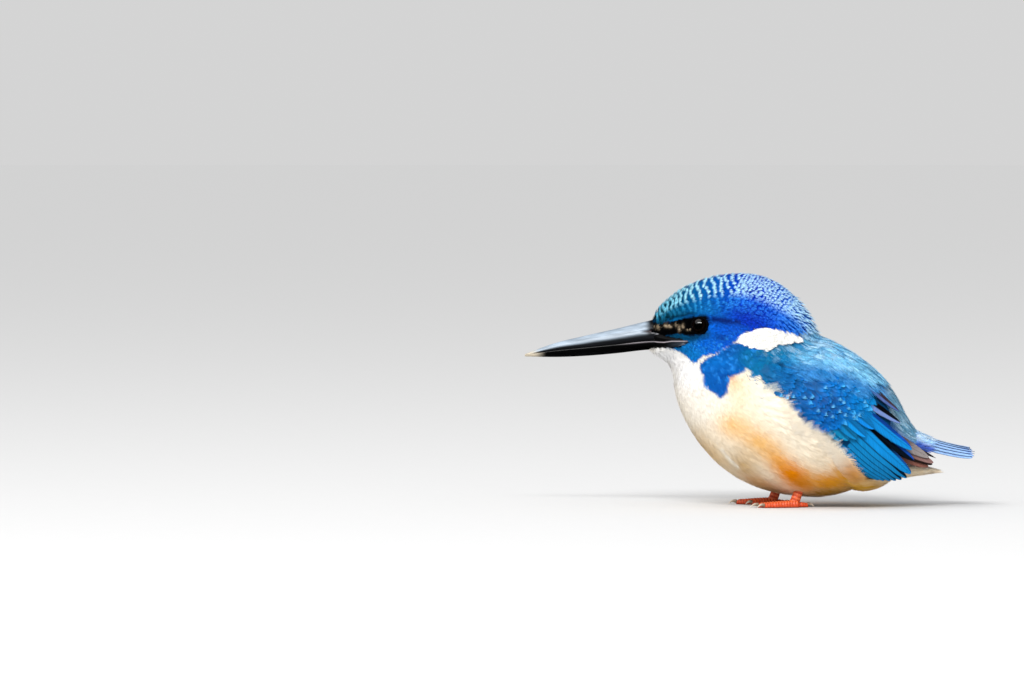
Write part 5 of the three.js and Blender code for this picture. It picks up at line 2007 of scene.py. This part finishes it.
# ---- Feet ----
@dataclass
class Foot:
    """A leg: scaled tarsus and four toes flat on the floor, with a claw on each.

    Attributes:
        side: "left" or "right".
        sign: 1 on the left, -1 on the right.
        ankle: (x, y) of the ankle, in mm.
        scute, leg_scute: length of a ring of scales on the toes and on the tarsus.
        rows, claw_rows: rings along a toe or the tarsus, and along a claw.
        sides, claw_sides: corners round each of them.
    """

    side: str
    sign: int
    ankle: Span
    scute: float = 1.0
    leg_scute: float = 1.3
    rows: int = 64
    claw_rows: int = 20
    sides: int = 24
    claw_sides: int = 14

    # (x, y, half width, height) from the ankle out, and the length of the claw.
    TOES = {
        "outer": (((1.0, 1.4, 1.35, 2.6), (2.3, -4.6, 1.3, 2.25), (3.6, -10.6, 0.95, 1.7)), 2.2),
        "middle": (((0.2, 1.2, 1.45, 2.7), (0.5, -6.0, 1.3, 2.25), (1.5, -12.6, 0.95, 1.7)), 2.6),
        "inner": (((-0.6, 1.2, 1.3, 2.6), (-1.5, -3.4, 1.15, 2.1), (-2.4, -7.4, 0.85, 1.6)), 2.0),
        "hind": (((0.0, -0.8, 1.3, 2.3), (-0.5, 2.4, 1.1, 1.9), (-1.2, 5.0, 0.8, 1.5)), 2.1),
    }

    def _toe(self, path: tuple[Table, ...]) -> Block:
        """A toe: a half-round rod flat on the floor, ringed by scutes and swollen into pads.
        Its section is x = w cos(t) and z = h (sin(t) + c) / (1 + c), cut off at the floor.

        Args:
            path: (x, y, half width, height) from the ankle out.

        Returns:
            Points, faces and tints.
        """
        k = np.linspace(0, len(path) - 1, self.rows)
        c = through(np.array(path), k)
        place = c[:, :2] * [self.sign, 1] + self.ankle
        way = unit(np.gradient(place, axis=0))
        side = np.stack([-way[:, 1], way[:, 0]], -1)
        run = np.concatenate([[0], np.cumsum(np.linalg.norm(np.diff(place, axis=0), axis=1))])
        ring = self._rings(run / self.scute)
        end = np.sqrt(np.clip(1 - np.clip((k - k[-1] + 0.16) / 0.16, 0, 1) ** 2, 0.02, 1))
        angle = around_ring(self.sides)
        groove = 1 - 0.07 * ring * (np.sin(angle) > -0.2)
        half = (c[:, 2] * (1 + 0.07 * np.sin(2 * np.pi * run / 3.4)) * end)[:, None] * np.cos(angle) * groove
        z = (c[:, 3] * end)[:, None] * np.clip((np.sin(angle) + 0.45) / 1.45, 0, 1) * groove
        points = np.dstack([place[:, None] + side[:, None] * half[..., None], z])
        return *lofted(points), with_poles(self._skin_colour(ring, z))

    @staticmethod
    def _rings(turns: Array) -> Array:
        """The rings of scales: 1 in the grooves between them, 0 on their crests."""
        return (0.5 + 0.5 * np.cos(2 * np.pi * turns))[:, None]

    @staticmethod
    def _skin_colour(ring: Array, z: Array) -> Array:
        """Orange-red skin: paler on the scutes' crests, more so higher up, as a painted highlight; darker in
        their grooves; and with painted shade low on the soles.
        """
        ring = np.broadcast_to(ring, z.shape)
        # painted highlight: the scutes' crests are paler the higher they stand
        c = over(flat("#ea5622", z.shape), "#f98a55", (1 - ring) * ease(z, 0.8, 2.2) * 0.6)
        c = over(c, "#9c2a0c", ring * 0.45)
        # painted shade: the soles are darkened where they meet the floor
        return over(c, "#8a3218", 1 - ease(z, 0.0, 0.6))

    def _tarsus(self) -> Block:
        """The bare leg: a rod leaning back and inwards, with scutes in front."""
        t = np.linspace(0, 1, self.rows - 4)
        x, y = self.ankle
        centre = np.stack([x - 2.4 * t**1.8 * self.sign, y + 0.1 + 3.4 * t, 1.4 + 9.0 * t], -1)
        ring = self._rings(t * 9.2 / self.leg_scute)
        angle = around_ring(self.sides)
        radius = (1.7 - 0.18 * np.sin(np.pi * t))[:, None] * (1 - 0.06 * ring * (np.sin(angle) < 0.3))
        out = np.stack([np.cos(angle), np.sin(angle), -0.35 * np.sin(angle)], -1)
        points = centre[:, None] + out[None] * radius[..., None]
        return *lofted(points), with_poles(self._skin_colour(ring, points[..., 2]))

    def _claw(self, path: tuple[Table, ...], length: float) -> Block:
        """A claw: a round horn that arches forward and comes down to the floor. Its radius
        falls as (1 - t)^0.75.

        Args:
            path: its toe's, as in _toe.
            length: in mm.

        Returns:
            Points, faces and tints.
        """
        (x0, y0, *_), (x1, y1, *_) = path[-2:]
        way = unit(np.array([self.sign * (x1 - x0), y1 - y0]))
        t = np.linspace(0, 1, self.claw_rows)
        half = 0.66 * (1 - t) ** 0.75 + 0.05
        middle = 0.95 + (half - 0.9) * t**1.6 + 0.3 * np.sin(np.pi * t)
        angle = around_ring(self.claw_sides)
        start = np.array([x1 * self.sign, y1]) + self.ankle
        flat = start + way * (-0.25 + (length + 0.45) * t)[:, None, None]
        flat = flat + np.array([-way[1], way[0]]) * (half[:, None] * np.cos(angle))[..., None]
        points = np.dstack([flat, middle[:, None] + half[:, None] * np.sin(angle)])
        tint = ramp(np.broadcast_to(t[:, None], points.shape[:2]), ((0.25, "#8d7a66"), (0.9, "#e6dac6")))
        return *lofted(points), with_poles(tint)

    def build(self) -> None:
        """Makes the leg as one piece and its claws as another."""
        leg, claws = Pieces(f"leg_scutes_{self.side}"), Pieces(f"claw_sheaths_{self.side}")
        leg.add(*self._tarsus())
        for path, length in self.TOES.values():
            leg.add(*self._toe(path))
            claws.add(*self._claw(path, length))
        leg.build(SCALES, "foot_skin", f"tarsus_{self.side}", f"foot_{self.side}")
        claws.build(CLAW_HORN, "claw_horn", *(f"claw_{toe}_{self.side}" for toe in self.TOES))


# ---- Studio ----
@dataclass
class Studio:
    """Plain pale floor under an even pale sky, a broad soft key light, and a long lens on the
    bird's left side.

    Attributes:
        azimuth, elevation: of the camera in degrees.
        lens_mm, sensor_mm: of the camera.
        width_mm: width of the field at the bird.
        aim: the point in the middle of the view, in mm.
        air: brightness of the sky.
        key, key_way: strength of the broad light from above, and the way to it.
        strip, strip_way: length and width in m and power in W of the soft box, and the way to it.
        paper: how much light the floor sends back.
    """

    azimuth: float = 90.0
    elevation: float = 2.0
    lens_mm: float = 200.0
    sensor_mm: float = 36.0
    width_mm: float = 358.4
    aim: tuple[float, float, float] = (0.0, -83.1, 57.8)
    air: float = 0.66
    key: float = 1.1
    key_way: tuple[float, float, float] = (0.36, -0.42, 0.84)
    strip: tuple[float, float, float] = (1.5, 0.3, 27.0)
    strip_way: tuple[float, float, float] = (0.69, -0.18, 0.7)
    paper: float = 0.68

    def build(self) -> None:
        """Makes the camera, floor, lights and world."""
        data = bpy.data.cameras.new("side_camera")
        data.lens, data.sensor_width, data.clip_end = self.lens_mm, self.sensor_mm, 100
        a, e = np.radians([self.azimuth, self.elevation])
        back = np.array([np.sin(a) * np.cos(e), -np.cos(a) * np.cos(e), np.sin(e)])
        away = self.width_mm * self.lens_mm / self.sensor_mm
        bpy.context.scene.camera = self._place("side_camera", data, back, np.array(self.aim) + back * away)
        sun = bpy.data.lights.new("broad_key", "SUN")
        sun.energy, sun.angle = self.key, np.radians(60)
        self._place("broad_key", sun, unit(np.array(self.key_way)), np.array([400.0, -400.0, 600.0]))
        box = bpy.data.lights.new("strip_softbox", "AREA")
        box.shape, box.size, box.size_y, box.energy = "RECTANGLE", *self.strip
        way = unit(np.array(self.strip_way))
        self._place("strip_softbox", box, way, way * 2000 + np.array([0.0, -17.0, 63.0]))
        world = bpy.data.worlds.new("studio_air")
        world.use_nodes = True
        world.node_tree.nodes["Background"].inputs["Color"].default_value = (self.air, self.air, self.air, 1)
        bpy.context.scene.world = world
        world.cycles_visibility.glossy = False  # gloss comes from the lamps, so dark horn stays dark
        bpy.context.scene.view_settings.view_transform = "Standard"
        self._floor()

    @staticmethod
    def _place(name: str, data: bpy.types.ID, back: Array, place: Array) -> bpy.types.Object:
        """Puts a camera or a lamp into the scene, its top up.

        Args:
            name, data: the object's name and what it is.
            back: the way opposite to where it looks.
            place: in mm.

        Returns:
            The object.
        """
        made = bpy.data.objects.new(name, data)
        right = unit(np.cross([0.0, 0.0, 1.0], back))
        matrix = np.eye(4)
        matrix[:3] = np.stack([right, np.cross(back, right), back, place * MM], -1)
        made.matrix_world = Matrix(matrix.tolist())
        bpy.context.scene.collection.objects.link(made)
        return made

    def _floor(self) -> None:
        """A wide pale disc, its top at the height of the soles: rings out to 30 m."""
        radii, sides = np.array([0.05, 0.3, 1, 3, 9, 30]) / MM, 96
        angle = around_ring(sides)
        ring = np.stack([np.cos(angle), np.sin(angle), 0 * angle], -1)
        i, j = np.meshgrid(np.arange(len(radii) - 1) * sides, np.arange(sides), indexing="ij")
        k = (j + 1) % sides
        quads = np.stack([i + j, i + j + sides, i + k + sides, i + k], -1).reshape(-1, 4)
        middle = np.stack([np.full(sides, len(radii) * sides), j[0], k[0]], -1)
        points = np.concatenate([(radii[:, None, None] * ring).reshape(-1, 3), [[0.0, 0.0, 0.0]]])
        parts = Pieces("studio_floor")
        parts.add(points, [quads, middle], np.full(points.shape, self.paper))
        paper = parts.build(PAPER, None)
        paper.visible_glossy = False


# ---- The bird ----
def main() -> None:
    """Builds the studio and the bird, piece by piece."""
    logging.basicConfig(level=logging.INFO, format="%(message)s")
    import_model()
    Studio().build()
    axis = BODY.slopes(np.array([EYE_STATION]), np.array([EYE_ANGLE]))[2][0]
    socket = Socket(np.array(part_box("eye_left")).mean(0) / MM, axis)
    Skin(socket).build()
    Eyes(socket).build()
    Bill().build()
    HeadCoat(socket).build()
    FrontCoat().build()
    BackCoat().build()
    Wings().build()
    Tail().build()
    Foot("left", 1, (8.2, 15.2)).build()
    Foot("right", -1, (-8.2, 8.4)).build()


if __name__ == "__main__":
    main()
